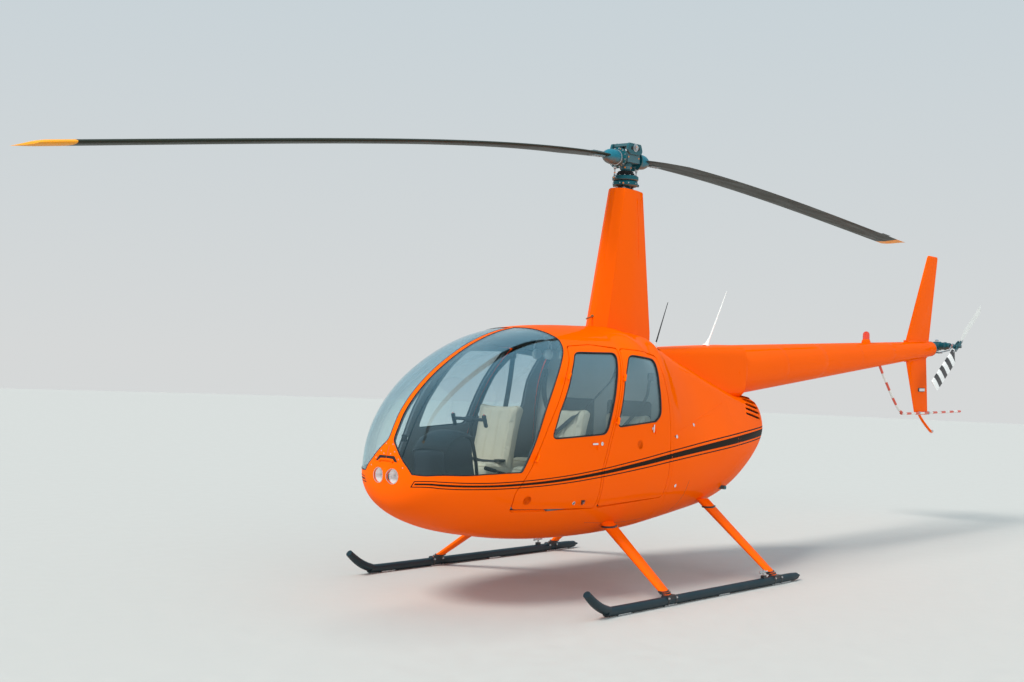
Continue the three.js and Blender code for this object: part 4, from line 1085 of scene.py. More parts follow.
def pylon_ring(row, depth=0.0):
    """The mast fairing's section at one row, drawn in by a depth."""
    z, front, back, front_half, chamfer_x, half, back_half = row
    waist = (chamfer_x + back) / 2
    corners = [(front, front_half), (chamfer_x, half), (waist, half * 0.93), (back, back_half)]
    corners += [(x, -y) for x, y in corners[::-1]]
    return [(x, y, z) for x, y in soft_ring(inset(corners, depth), PYLON_SOFTNESS)]


def pylon_row(z):
    """The mast fairing's measures at any height."""
    return [float(np.interp(z, [row[0] for row in MAST_FAIRING], column)) for column in zip(*MAST_FAIRING)]


def on_pylon(z, share, lift=0.0):
    """A point and outward normal to port. share: 0 at the chamfer's edge, 1 at the waist, 2 at the back."""
    _, _, back, _, chamfer_x, half, back_half = pylon_row(z)
    corners = [Vector((chamfer_x, half)), Vector(((chamfer_x + back) / 2, half * 0.93)),
               Vector((back, back_half))]
    first = min(int(share), 1)
    a, b = corners[first], corners[first + 1]
    way = (b - a).normalized()
    out = Vector((way.y, -way.x))
    at = a.lerp(b, share - first) + out * lift
    return Vector((at.x, at.y, z)), Vector((out.x, out.y, 0.08)).normalized()


def pylon_strip(low, high, share, width, lift):
    """A thin raised strip up the port side."""
    rings = []
    for z in np.linspace(low, high, 12):
        at, out = on_pylon(z, share)
        side = Vector((0, 0, 1)).cross(out).normalized() * width / 2
        rings.append([at - side - out * 0.004, at + side - out * 0.004, at + side + out * lift,
                      at - side + out * lift])
    return loft(rings)


def mast_fairing():
    """The hollow fairing, its seam strips and its rivets."""
    rows = [pylon_row(z) for z in MAST_FAIRING_HEIGHTS]
    outer = [pylon_ring(row, 0.002 if i == len(rows) - 1 else 0) for i, row in enumerate(rows)]
    inner = [pylon_ring(row, MAST_FAIRING_WALL) for row in rows[::-1]]
    piece("mast_fairing_skin", [loft(outer + inner, caps=False)], PAINT, replaces="mast_fairing", sharp=20)
    rivets = [on_pylon(z, 0.28) for z in np.arange(1.95, 2.86, 0.045)]
    rivets += [on_pylon(z, 1.32, 0.0015) for z in np.arange(2.42, 2.72, 0.028)]
    frame = [pylon_strip(2.74, 2.86, 1.15, 0.004, 0.0015), pylon_strip(2.74, 2.86, 1.5, 0.004, 0.0015)]
    piece("mast_fairing_strip", [domes(rivets, 0.0032), pylon_strip(2.40, 2.73, 1.32, 0.016, 0.0015)]
          + frame, PAINT)


BOOM_FRONT, BOOM_BACK = Vector((-1.5, 0, 1.569)), Vector((-5.65, 0, 1.889))
BOOM_RADII = (0.215, 0.080)
BOOM_SEAMS = (0.008, 0.19, 0.375, 0.56, 0.745, 0.93)  # shares of its length
BOOM_RIVET_TURNS = (208, -28)  # degrees from port, of the two long rows


def boom_place(share, turn, lift=0.0):
    """A point and outward normal on the boom. turn is measured from port, 90 degrees is the top."""
    axis = (BOOM_BACK - BOOM_FRONT).normalized()
    up = (Vector((0, 0, 1)) - axis * axis.z).normalized()
    out = Vector((0, 1, 0)) * math.cos(turn) + up * math.sin(turn)
    radius = BOOM_RADII[0] + (BOOM_RADII[1] - BOOM_RADII[0]) * share
    return BOOM_FRONT.lerp(BOOM_BACK, share) + out * (radius + lift), out


def boom():
    """The tapered boom with a shallow groove at each seam, and its rivets."""
    steps = [seam + shift for seam in BOOM_SEAMS for shift in (-0.0012, -0.0006, 0.0006)]
    steps = sorted([k / 40 for k in range(-1, 41)] + steps)
    rings = []
    for share in steps:
        seam = any(abs(share - s) < 0.0008 for s in BOOM_SEAMS)
        rings.append([boom_place(share, 2 * math.pi * k / 56, 0.0 if not seam else -0.0012)[0]
                      for k in range(56)])
    piece("tail_boom_skin", [loft(rings)], PAINT, replaces="tail_boom", sharp=50)
    rivets = []
    for seam in BOOM_SEAMS:
        for shift in (-0.0035, 0.0045):
            rivets += [boom_place(seam + shift, 2 * math.pi * k / 28) for k in range(28)]
    for turn in BOOM_RIVET_TURNS:
        rivets += [boom_place(k / 130, math.radians(turn)) for k in range(1, 130)]
    piece("boom_rivets", [domes(rivets, 0.0035)], PAINT)


engine_cowl()
tail_cowl()
root_fairing()
mast_fairing()
boom()


# Main rotor. ROTOR turns with the mast, and HEAD also teeters about its top

ROTOR = Matrix.Rotation(ROTOR_AZIMUTH, 4, "Z")
HEAD = ROTOR @ Matrix.Translation((0, 0, ROTOR_HEIGHT)) @ Matrix.Rotation(TEETER, 4, "Y")
ARMS = [Matrix.Rotation(math.pi * i, 4, "Z") for i in (0, 1)]
SWASH_Z = 2.985


def ring_of(build, count, phase=0.0):
    """Copies of a few shapes, turned evenly about Z."""
    made = []
    for i in range(count):
        made += place_all(build, Matrix.Rotation(2 * math.pi * i / count + phase, 4, "Z"))
    return made


def ball(at, radius, slot=0):
    """A ball, as a turned shape."""
    profile = [(radius * math.sin(a), -radius * math.cos(a)) for a in np.linspace(0.05, math.pi - 0.05, 9)]
    return lathe(profile, at, steps=16, slot=slot)


HUB_SIDE = 0.075
HUB_TOP = 0.114
HUB_NUT, HUB_NUT_Z = 0.021, 0.082  # the teeter bolt's nut: radius and height
# The hub's cheek, its right half from foot to top. The other half mirrors it
CHEEK_HALF = [(0.062, 0.030), (0.094, 0.046), (0.102, 0.066), (0.082, HUB_TOP)]
# Turned profiles of (radius, place along the blade's axis)
FLANGE = [(0.03, 0.1065), (0.078, 0.1065), (0.080, 0.109), (0.080, 0.118), (0.062, 0.121), (0.056, 0.130),
          (0.055, 0.150)]
BARREL = [(0.055, 0.148), (0.058, 0.156), (0.058, 0.200), (0.054, 0.232), (0.044, 0.260), (0.028, 0.280),
          (0.012, 0.290), (0.003, 0.291)]
BARREL_CLAMP = [(0.056, 0.136), (0.0595, 0.138), (0.0595, 0.144), (0.056, 0.146)]
# Turned profiles of (radius, height above the swashplate's joint)
FIXED_RING = [(0.044, -0.045), (0.086, -0.045), (0.095, -0.036), (0.095, -0.012), (0.088, -0.004),
              (0.044, -0.002)]
TURNING_RING = [(0.054, 0), (0.094, 0), (0.100, 0.005), (0.100, 0.028), (0.094, 0.034), (0.054, 0.036)]
# Where each pitch link stands, in its arm's frame: X, Y, low and high
LINK = (0.118, -0.020, SWASH_Z + 0.017, ROTOR_HEIGHT - 0.066)


def hub():
    """Two bolted cheeks on a block, which teeters on the mast."""
    cheek = rounded([(-x, z) for x, z in CHEEK_HALF[::-1]] + CHEEK_HALF, 0.013)
    shapes = [prism(cheek, y - 0.008, y + 0.008) for y in (-HUB_SIDE, HUB_SIDE)]
    shapes.append(box((-0.084, -0.070, -0.03), (0.084, 0.070, 0.052)))
    shapes.append(box((-0.066, -0.078, 0.092), (0.066, 0.078, HUB_TOP)))
    shapes.append(lathe([(0.046, -0.055), (0.046, -0.012), (0.038, 0.0)]))
    for side in (-1, 1):
        face = side * (HUB_SIDE + 0.008)
        for x in (-0.043, 0.043):
            shapes.append(rod((x, face, 0.076), (x, face + side * 0.003, 0.076), 0.0135, sides=24, slot=2))
        shapes.append(lathe([(HUB_NUT * 1.45, 0), (HUB_NUT * 1.45, 0.004), (HUB_NUT * 1.2, 0.006)],
                            (0, face, HUB_NUT_Z), (0, side, 0), slot=1))
        shapes += bolt((0, face + side * 0.005, HUB_NUT_Z), (0, side, 0), HUB_NUT, 0.010, slot=1)
        shapes.append(rod((0.008, face + side * 0.0175, HUB_NUT_Z + 0.004),
                          (0.008, face + side * 0.019, HUB_NUT_Z + 0.004), 0.005, slot=3))
        shapes += [rod((x, side * 0.070, 0.008), (x, side * 0.0715, 0.008), 0.006, slot=3)
                   for x in (-0.07, 0.07)]
        shapes.append(rod((0.084, side * 0.03, 0.03), (0.0875, side * 0.03, 0.03), 0.008, slot=3))
    for x in (-0.045, 0.045):
        for y in (-0.055, 0.055):
            shapes += bolt((x, y, HUB_TOP), (0, 0, 1), 0.007, 0.004, slot=1)
    piece("rotor_hub_assembly", place_all(shapes, HEAD), [HEAD_METAL, STEEL, RUBBER, WITNESS],
          "main_rotor", "rotor_hub", bevel=0.002)


def pitch_housing(arm):
    """A flanged barrel that closes round the blade's root."""
    turned = [lathe(profile, toward=(1, 0, 0), slot=slot)
              for slot, profile in enumerate((FLANGE, BARREL, BARREL_CLAMP))]
    turn = Matrix.Rotation(math.pi / 2, 4, "Y")
    bolts = ring_of(bolt((0.071, 0, 0.118), (0, 0, 1), 0.005, 0.005, slot=2), 12, 0.3)
    dots = ring_of([rod((0.071, 0, 0.1235), (0.071, 0, 0.1245), 0.0035, slot=3)], 3, 0.6)
    x, y, _, high = LINK
    low = high - ROTOR_HEIGHT
    horn = [rod((x, y, low - 0.002), (x, y * 0.5, -0.045), 0.012, 0.016),
            ball((x, y, low - 0.004), 0.014, 2),
            rod((x, y - 0.018, low - 0.004), (x, y + 0.018, low - 0.004), 0.005, slot=2)]
    return place_all(turned + place_all(bolts + dots, turn) + horn, HEAD @ arm)


def pitch_link(arm):
    """A rod with a ball and a lock nut at each end."""
    x, y, low, high = LINK
    low, high = Vector((x, y, low)), Vector((x, y, high - 0.004))
    way = (high - low).normalized()
    shapes = [rod(low, high, 0.0055)]
    for at, toward in ((low, way), (high, -way)):
        shapes.append(rod(at + toward * 0.010, at + toward * 0.022, 0.009, sides=6))
        shapes.append(ball(at, 0.0115))
    shapes.append(rod(low + way * 0.03, low + way * 0.036, 0.0072, slot=1))
    return place_all(shapes, ROTOR @ arm)


def droop(radius, tip):
    """How far a blade hangs down at a radius, from its droop at the tip."""
    s = radius / ROTOR_RADIUS
    return tip * s * s * (6 - 4 * s + s * s) / 3


def aerofoil(thickness, count=14):
    """A symmetric section from nose to tail and back, as (share of chord, half thickness)."""
    x = (1 - np.cos(np.linspace(0, math.pi, count))) / 2
    half = 5 * thickness * (0.2969 * np.sqrt(x) - 0.126 * x - 0.3516 * x**2 + 0.2843 * x**3 - 0.1036 * x**4)
    return np.concatenate([np.stack([x, half], 1), np.stack([x, -half], 1)[-2:0:-1]])


TRIM_TAB = (4.42, 4.60)  # along the blade
TRIM_TAB_DEPTH = 0.022
STATIONS = [0.18, 0.20, 0.24, 0.28, 0.34, 0.40, 0.46, 0.54, 0.62, *np.linspace(0.75, 4.90, 34),
            4.94, 4.97, 4.99, 5.005, 5.017, 5.025, ROTOR_RADIUS - 0.002]
# Shares of the full chord and thickness against the radius
CHORD_AT = ([0.18, 0.24, 0.34, 0.62, 4.94, 4.99, 5.017, 5.03], [0.24, 0.6, 0.75, 1, 1, 0.97, 0.9, 0.74])
THICKNESS_AT = ([0.18, 0.24, 4.98, 5.012, 5.03], [0.4, 1, 1, 0.8, 0.25])


def blade(arm, tip):
    """One blade with its root fitting and its trim tab."""
    section_line = aerofoil(0.115)
    rings = []
    for radius in STATIONS:
        wide = float(np.interp(radius, *CHORD_AT))
        thick = float(np.interp(radius, *THICKNESS_AT))
        z = droop(BLADE_ROOT, tip) - droop(radius, tip)
        rings.append([(radius, (0.25 * wide - share * (1 if radius > 4 else wide)) * BLADE_CHORD,
                       half * BLADE_CHORD * thick + z) for share, half in section_line])
    skin_of_blade = loft(rings, along=STATIONS)
    root = [box((0.33, -0.030, -0.017), (0.47, 0.034, 0.017), slot=1)]
    for x in (0.36, 0.40, 0.44):
        for side in (1, -1):
            root += bolt((x, 0.006, side * 0.0165), (0, 0, side), 0.007, 0.005, slot=2)
    start, end = TRIM_TAB
    tail, middle = -0.745 * BLADE_CHORD, (start + end) / 2
    corners = [(start, tail), (end, tail), (end, tail - TRIM_TAB_DEPTH), (start, tail - TRIM_TAB_DEPTH)]
    tab = [prism(corners, -0.001, 0.001, "z")]
    slope = math.atan2(droop(end, tip) - droop(start, tip), end - start)
    tab = place_all(tab, Matrix.Translation((middle, 0, droop(BLADE_ROOT, tip) - droop(middle, tip)))
                    @ Matrix.Rotation(slope, 4, "Y") @ Matrix.Translation((-middle, 0, 0)))
    return place_all([skin_of_blade] + root + tab, HEAD @ arm)


def fixed_swashplate():
    """The ring that stays still, with its three control rods."""
    fixed = [lathe([(radius, SWASH_Z + rise) for radius, rise in FIXED_RING], steps=40)]
    fixed += ring_of([rod((0.085, 0, SWASH_Z - 0.03), (0.112, 0, SWASH_Z - 0.03), 0.012, 0.010),
                      rod((0.058, 0, SWASH_Z - 0.05), (0.055, 0, 2.62), 0.0075, slot=1),
                      ball((0.058, 0, SWASH_Z - 0.056), 0.012, 1),
                      rod((0.108, 0, SWASH_Z - 0.03), (0.114, 0, SWASH_Z - 0.03), 0.006, slot=2)], 3, 0.5)
    fixed += ring_of(bolt((0.091, 0, SWASH_Z - 0.024), (1, 0, 0), 0.006, 0.006, slot=1), 9, 0.2)
    piece("swashplate_fixed_ring", fixed, [HEAD_METAL, STEEL, WITNESS], replaces="swashplate_fixed",
          bevel=0.0015)


def mast_tube():
    """The tube that the rotor's shaft runs in."""
    mast = [lathe([(0.038, 1.80), (0.038, 2.90), (0.043, 2.905), (0.043, 2.93), (0.038, 2.935),
                   (0.038, 3.008)], steps=32)]
    piece("mast_tube_fixed", mast, HEAD_METAL, replaces="mast_tube", sharp=25)


def turning_swashplate():
    """The ring that turns, with an arm for each pitch link."""
    turning = [lathe([(radius, SWASH_Z + rise) for radius, rise in TURNING_RING], steps=40)]
    turning += ring_of(bolt((0.076, 0, SWASH_Z + 0.0345), (0, 0, 1), 0.0055, 0.005, slot=1), 12)
    x, y, z = LINK[0], LINK[1], LINK[2] - 0.006
    horn = [rod((x * 0.78, y * 0.78, z), (x + 0.008, y, z), 0.0095),
            rod((x + 0.008, y, z), (x + 0.013, y, z), 0.006, slot=2)]
    for arm in ARMS:
        turning += place_all(horn, arm)
    piece("swashplate_turning_ring", place_all(turning, ROTOR), [HEAD_METAL, STEEL, WITNESS], "main_rotor",
          "swashplate_rotating", bevel=0.0015)


def rotor_shaft():
    """The shaft's collar, and the folded boot over the swashplate's ball."""
    folds = [(0.074 - 0.004 * k + 0.008 * (k % 2), SWASH_Z + 0.0365 + 0.0062 * k) for k in range(7)]
    shaft = [lathe([(0.036, 3.0105), (0.036, 3.068), (0.043, 3.07), (0.043, 3.0935)], steps=32),
             lathe([(0.037, SWASH_Z + 0.036)] + folds + [(0.037, folds[-1][1] + 0.003)], steps=32, slot=1)]
    shaft += ring_of([rod((0.0425, 0, 3.082), (0.046, 0, 3.082), 0.006, slot=2)], 5, 0.45)
    piece("rotor_shaft_and_boot", place_all(shaft, ROTOR), [HEAD_METAL, RUBBER, WITNESS], "main_rotor",
          "rotor_shaft", sharp=25)


def main_rotor():
    """Everything that turns with the mast, and the tube it stands in."""
    fixed_swashplate()
    mast_tube()
    turning_swashplate()
    rotor_shaft()
    hub()
    for i, arm in enumerate(ARMS):
        number = i + 1
        piece(f"pitch_housing_{number}_cast", pitch_housing(arm), [HEAD_METAL, BOOT, STEEL, WITNESS],
              "main_rotor", f"pitch_housing_{number}", bevel=0.0015)
        piece(f"rotor_blade_{number}_skin", blade(arm, BLADE_DROOP[i]), [BLADE, HEAD_METAL, STEEL],
              "main_rotor", f"rotor_blade_{number}", sharp=40)
        piece(f"pitch_link_{number}_rod", pitch_link(arm), [STEEL, WITNESS], "main_rotor",
              f"pitch_link_{number}", "bare_metal", sharp=40)


main_rotor()


# Tail: fins, stabilizer, gearbox, rotor, guard, skid, lights and antennas

FIN_Y, FIN_THICK = 0.0, 0.036
FIN_RIVET_SHARES = (0.12, 0.34, 0.62)  # of the chord
# Columns: z, front x, back x, share of the full thickness
UPPER_FIN = ((1.80, -4.97, -5.592, 1.0), (1.88, -5.01, -5.61, 1.0), (2.86, -5.518, -5.791, 0.62),
             (2.882, -5.532, -5.790, 0.5), (2.89, -5.555, -5.775, 0.2))
LOWER_FIN = ((1.96, -5.0, -5.55, 1.0), (1.88, -5.01, -5.56, 1.0), (1.20, -5.310, -5.646, 0.62),
             (1.186, -5.322, -5.644, 0.5), (1.179, -5.345, -5.630, 0.2))


def fin(rows):
    """A fin lofted through its rows."""
    line = aerofoil(FIN_THICK / 0.5)
    rings = []
    for z, front, back, share in rows:
        rings.append([(front + (back - front) * along, FIN_Y + half * 0.5 * share, z)
                      for along, half in line])
    return loft(rings)


def fin_rivets(rows):
    """Three rows of rivets up each side of a fin."""
    (z0, front0, back0, _), (z1, front1, back1, _) = rows[1], rows[2]
    made = []
    for share in FIN_RIVET_SHARES:
        for t in np.arange(0.06, 0.97, 0.032):
            x = (front0 + (front1 - front0) * t) * (1 - share) + (back0 + (back1 - back0) * t) * share
            half = FIN_THICK / 2 * (1 - 0.38 * t) * math.sin(math.pi * share**0.6) ** 0.6
            for side in (1, -1):
                made.append(((x, FIN_Y + side * half * 0.99, z0 + (z1 - z0) * t), (0, side, 0)))
    return made


def stabilizer():
    """The tailplane, on the starboard side only."""
    line = aerofoil(0.12)
    rings = []
    for y, share in ((-0.08, 1), (-0.88, 1), (-0.895, 0.9), (-0.9, 0.6)):
        rings.append([(-5.11 - 0.36 * along, y, 1.86 + half * 0.36 * share) for along, half in line])
    return loft(rings)


def fin_roots():
    """Angle strips riveted along the foot of each fin, lying on the boom."""
    parts, rivets = [], []
    for turn, front, back in ((math.pi / 2, -5.07, -5.58), (-math.pi / 2, -5.06, -5.54)):
        for side in (1, -1):
            line = []
            for x in np.linspace(front, back, 12).tolist():
                share = (x - BOOM_FRONT.x) / (BOOM_BACK.x - BOOM_FRONT.x)
                line.append(boom_place(share, turn - side * 0.28 * (1 if turn > 0 else -1), 0.0))
            rings = []
            for at, out in line:
                foot = Vector((at.x, side * FIN_THICK * 0.42, at.z + out.z * 0.004))
                rings.append([at + out * 0.0008, at + out * 0.003,
                              foot + Vector((0, side * 0.002, out.z * 0.012)), foot])
            parts.append(loft(rings))
            rivets += [(at + out * 0.002, out) for at, out in line[1:-1]]
    return parts + [domes(rivets, 0.004)]


GUARD_Y = 0.0303
GUARD_LINE = ((-4.425, 0.008, 1.695), (-4.50, 0.018, 1.59), (-4.585, GUARD_Y, 1.48),
              (-4.71, GUARD_Y, 1.36), (-4.83, GUARD_Y, 1.262), (-4.94, GUARD_Y, 1.207),
              (-5.05, GUARD_Y, 1.194), (-6.45, GUARD_Y, 1.214))
GUARD_CLAMP = ((0.015, -0.012), (0.018, -0.01), (0.018, 0.01), (0.015, 0.012))  # radius, length
GUARD_CLAMPS_X, GUARD_CLAMP_Z = (-5.36, -5.60), 1.1985
TAIL_SKID_LINE = ((-5.437, FIN_Y, 1.20), (-5.447, FIN_Y, 1.171), (-5.56, FIN_Y, 1.095), (-5.74, FIN_Y, 1.0),
                  (-5.785, FIN_Y, 0.997))


def tail_surfaces():
    """Fins, stabilizer, their rivets and root strips."""
    piece("fin_upper_skin", [fin(UPPER_FIN)], PAINT, replaces="fin_upper", sharp=50)
    piece("fin_lower_skin", [fin(LOWER_FIN)], PAINT, replaces="fin_lower", sharp=50)
    piece("stabilizer_skin", [stabilizer()], PAINT, replaces="stabilizer", sharp=50)
    rivets = fin_rivets(UPPER_FIN) + fin_rivets(LOWER_FIN)
    piece("fin_rivets", [domes(rivets, 0.0036)], PAINT)
    piece("fin_root_strips", fin_roots(), PAINT, sharp=30)


def guard_and_skid():
    """The banded guard tube, and the skid below the lower fin."""
    guard = [tube(smooth_line(GUARD_LINE, 0.03), 0.0130, 14)]
    clamp = [lathe(GUARD_CLAMP, (x, GUARD_Y, GUARD_CLAMP_Z), (1, 0, 0.015), slot=1) for x in GUARD_CLAMPS_X]
    clamp += [rod((x, GUARD_Y, GUARD_CLAMP_Z), (x, FIN_Y, GUARD_CLAMP_Z), 0.008, slot=1)
              for x in GUARD_CLAMPS_X]
    piece("tail_guard_tube", guard + clamp, [GUARD, STEEL], replaces="tail_guard", slot="red_plastic")
    line = smooth_line(TAIL_SKID_LINE, 0.02)
    piece("tail_skid_tube", [tube(line, 0.0138, 14), rod(line[-4], line[-1], 0.0155, slot=1)],
          [PAINT, STEEL], replaces="tail_skid")


# Turned profiles of (radius, length): the gearbox along the boom's axis, and along the tail rotor's
NECK = [(0.078, 0.0005), (0.081, 0.004), (0.081, 0.012), (0.048, 0.016), (0.041, 0.03), (0.039, 0.075),
        (0.048, 0.08), (0.048, 0.092), (0.038, 0.10), (0.036, 0.19)]
OUTPUT = [(0.03, -0.002), (0.046, 0), (0.048, 0.01), (0.048, 0.08), (0.040, 0.085), (0.040, 0.12),
          (0.044, 0.125), (0.044, 0.14), (0.036, 0.15), (0.034, 0.188)]


def tail_gearbox():
    """A flanged and ribbed case, its output housing and its pitch crank."""
    axis = (BOOM_BACK - BOOM_FRONT).normalized()
    turn = aimed(BOOM_BACK, axis)
    case = [lathe(NECK, BOOM_BACK, axis, 40)]
    case += place_all(ring_of(bolt((0.07, 0, 0.012), (0, 0, 1), 0.006, 0.006, slot=1), 8)
                      + ring_of(bolt((0.0435, 0, 0.092), (0, 0, 1), 0.0035, 0.004, slot=1), 8, 0.3), turn)
    for k in range(8):
        rib = box((0.034, -0.002, 0.02), (0.046, 0.002, 0.078))
        case.append(rib.moved(Matrix.Rotation(math.pi * k / 4, 4, "Z")).moved(turn))
    at = Vector((TAIL_ROTOR.x, -0.04, TAIL_ROTOR.z))
    case.append(lathe(OUTPUT, at, (0, 1, 0), 36))
    face = Matrix.Translation(at) @ Matrix.Rotation(math.pi / 2, 4, "X")
    case += place_all(ring_of(bolt((0.038, 0, 0.0), (0, 0, 1), 0.0045, 0.005, slot=1), 6), face)
    case.append(lathe([(0.02, 0), (0.02, 0.012), (0.011, 0.018)],
                      (TAIL_ROTOR.x + 0.01, 0, TAIL_ROTOR.z + 0.052), steps=16, slot=1))
    crank = (TAIL_ROTOR.x + 0.09, 0.06, TAIL_ROTOR.z - 0.075)
    case += [rod((crank[0], -0.01, crank[2]), (crank[0], 0.10, crank[2]), 0.009, slot=1),
             rod(crank, (TAIL_ROTOR.x + 0.01, 0.15, TAIL_ROTOR.z - 0.045), 0.007, slot=1),
             ball(crank, 0.013, 1)]
    piece("tail_gearbox_case", case, [HEAD_METAL, STEEL], replaces="tail_gearbox", sharp=25)


TAIL_SPIN = Matrix.Translation(TAIL_ROTOR) @ Matrix.Rotation(-TAIL_BLADE_ANGLE, 4, "Y")
TAIL_COLLAR = ((0.026, -0.06), (0.03, -0.055), (0.03, -0.04), (0.024, -0.035))  # radius, length
TAIL_PLATE = ((-0.094, -0.016), (0.094, -0.016), (0.094, 0.016), (0.03, 0.026), (-0.03, 0.026),
              (-0.094, 0.016))
TAIL_BAND_START = 0.05  # shifts the bands so that the tip is white
TAIL_STATIONS = [0.0955, 0.11, 0.15, 0.19, *np.linspace(0.24, 0.72, 12), 0.728, TAIL_RADIUS - 0.002]
TAIL_CHORD_AT = ([0.095, 0.12, 0.19, 0.72, 0.735], [0.42, 0.5, 1, 1, 0.9])
TAIL_THICKNESS_AT = ([0.095, 0.19, 0.72, 0.735], [1.7, 1, 1, 0.4])


def tail_hub():
    """A short shaft with two plates, a nut, and a pitch rod for each blade."""
    hub_parts = [rod((0, -0.0745, 0), (0, 0.045, 0), 0.019),
                 lathe(TAIL_COLLAR, toward=(0, 1, 0), slot=1),
                 rod((0, 0.035, 0), (0, 0.052, 0), 0.013, sides=6, slot=1)]
    for y in (-0.016, 0.016):
        hub_parts.append(prism(rounded(TAIL_PLATE, 0.01), y - 0.004, y + 0.004))
    for turn in (0, math.pi):
        arm = Matrix.Rotation(turn, 4, "Y")
        hub_parts += place_all(bolt((0.08, 0.02, 0), (0, 1, 0), 0.008, 0.008, slot=1)
                               + [rod((0.03, -0.05, 0.02), (0.12, -0.03, 0.045), 0.006, slot=1),
                                  ball((0.12, -0.03, 0.045), 0.01, 1)], arm)
    piece("tail_rotor_hub_parts", place_all(hub_parts, TAIL_SPIN), [HEAD_METAL, STEEL], "tail_rotor",
          "tail_rotor_hub", bevel=0.0015)


def tail_blades():
    """Two blades, a white one and one in black and white bands."""
    line = aerofoil(0.14, 10)
    for i in (0, 1):
        rings = []
        for radius in TAIL_STATIONS:
            wide = np.interp(radius, *TAIL_CHORD_AT)
            thick = np.interp(radius, *TAIL_THICKNESS_AT)
            rings.append([(radius, half * TAIL_CHORD * thick, (0.25 - along * wide) * TAIL_CHORD)
                          for along, half in line])
        shapes = [loft(rings, along=[radius + TAIL_BAND_START for radius in TAIL_STATIONS])]
        shapes += bolt((0.13, 0.012, 0.01), (0, 1, 0), 0.007, 0.005, slot=1)
        arm = TAIL_SPIN @ Matrix.Rotation(math.pi * i, 4, "Y") @ Matrix.Rotation(TAIL_BLADE_PITCH, 4, "X")
        paint = WHITE if i else TAIL_BLADE
        piece(f"tail_rotor_blade_{i + 1}_skin", place_all(shapes, arm), [paint, STEEL], "tail_rotor",
              f"tail_rotor_blade_{i + 1}", "white_paint", sharp=40)


TALL_ANTENNA = ((-1.218, 0, 1.768), (-1.25, 0, 1.818), (-1.375, 0, 2.022), (-1.506, 0, 2.240))
SHORT_ANTENNA = ((-0.464, 0, 1.724), (-0.50, 0, 1.805), (-0.56, 0, 1.94), (-0.630, 0, 2.095))
BEACON_SHARE = 0.6372  # of the boom's length
# Opposite corners on the lower fin's sides, as X and Z
TAIL_LAMP_BASE = ((-5.36, 1.425), (-5.52, 1.465))
TAIL_LAMP_LENS = ((-5.38, 1.43), (-5.515, 1.46))


def tapered(line, foot, tip):
    """A radius for each point of a line, from foot to tip."""
    return np.interp(np.arange(len(line)), [0, len(line) - 1], [foot, tip])


def beacon():
    """The red lamp on top of the boom."""
    base = boom_place(BEACON_SHARE, math.pi / 2)[0]
    x, z = base.x, base.z
    parts = [lathe([(0.045, -0.015), (0.044, 0.012), (0.036, 0.03), (0.033, 0.032)], (x, 0, z), steps=32),
             lathe([(0.034, 0.032), (0.035, 0.05), (0.034, 0.085), (0.030, 0.1), (0.018, 0.112),
                    (0.002, 0.116)], (x, 0, z - 0.003), steps=32, slot=1)]
    piece("beacon_lamp", parts, [PAINT, RED_LENS], replaces="beacon", slot="red_plastic", sharp=40)


def antennas():
    """Two whips, each with a cone at its foot."""
    tall = smooth_line(TALL_ANTENNA, 0.04)
    cone = lathe([(0.034, -0.012), (0.033, 0.002), (0.02, 0.012), (0.0095, 0.07)], (-1.216, 0, 1.768),
                 (-0.29, 0, 0.477))
    piece("antenna_tall_whip", [tube(tall, tapered(tall, 0.0085, 0.003), 10), cone], WHITE,
          replaces="antenna_tall", slot="white_paint")
    short = smooth_line(SHORT_ANTENNA, 0.04)
    foot = lathe([(0.03, -0.012), (0.029, 0.002), (0.018, 0.01), (0.0085, 0.05)], (-0.463, 0, 1.724),
                 (-0.167, 0, 0.375), slot=1)
    piece("antenna_short_whip", [tube(short, tapered(short, 0.0068, 0.0025), 10), foot], [BLACK, WHITE],
          replaces="antenna_short")


def tail_lamp():
    """A lamp on each side of the lower fin."""
    lamp = []
    for side in (1, -1):
        lamp.append(prism(rectangle(*TAIL_LAMP_BASE, 0.008), side * 0.0125, side * 0.0175))
        lamp.append(prism(rectangle(*TAIL_LAMP_LENS, 0.008), side * 0.0175, side * 0.0205, slot=1))
    piece("tail_lamp", lamp, [BLACK, CHROME], slot="white_paint", bevel=0.0012)


def pitot():
    """The bent probe on the mast fairing."""
    probe = [tube([(0.345, 0, 1.935), (0.41, 0, 1.9155), (0.425, 0, 1.911)], [0.0065, 0.0065, 0.0055]),
             lathe([(0.014, 0), (0.0125, 0.005), (0.007, 0.009)], (0.352, 0, 1.933), (0.96, 0, -0.28))]
    piece("pitot_probe", probe, [BRASS], replaces="pitot_tube", slot="bare_metal")


tail_surfaces()
guard_and_skid()
tail_gearbox()
tail_hub()
tail_blades()
beacon()
antennas()
tail_lamp()
pitot()


# Landing gear, port side first

SHOE_DROP = 0.003
SKID_Z = SKID_RADIUS + SHOE_DROP
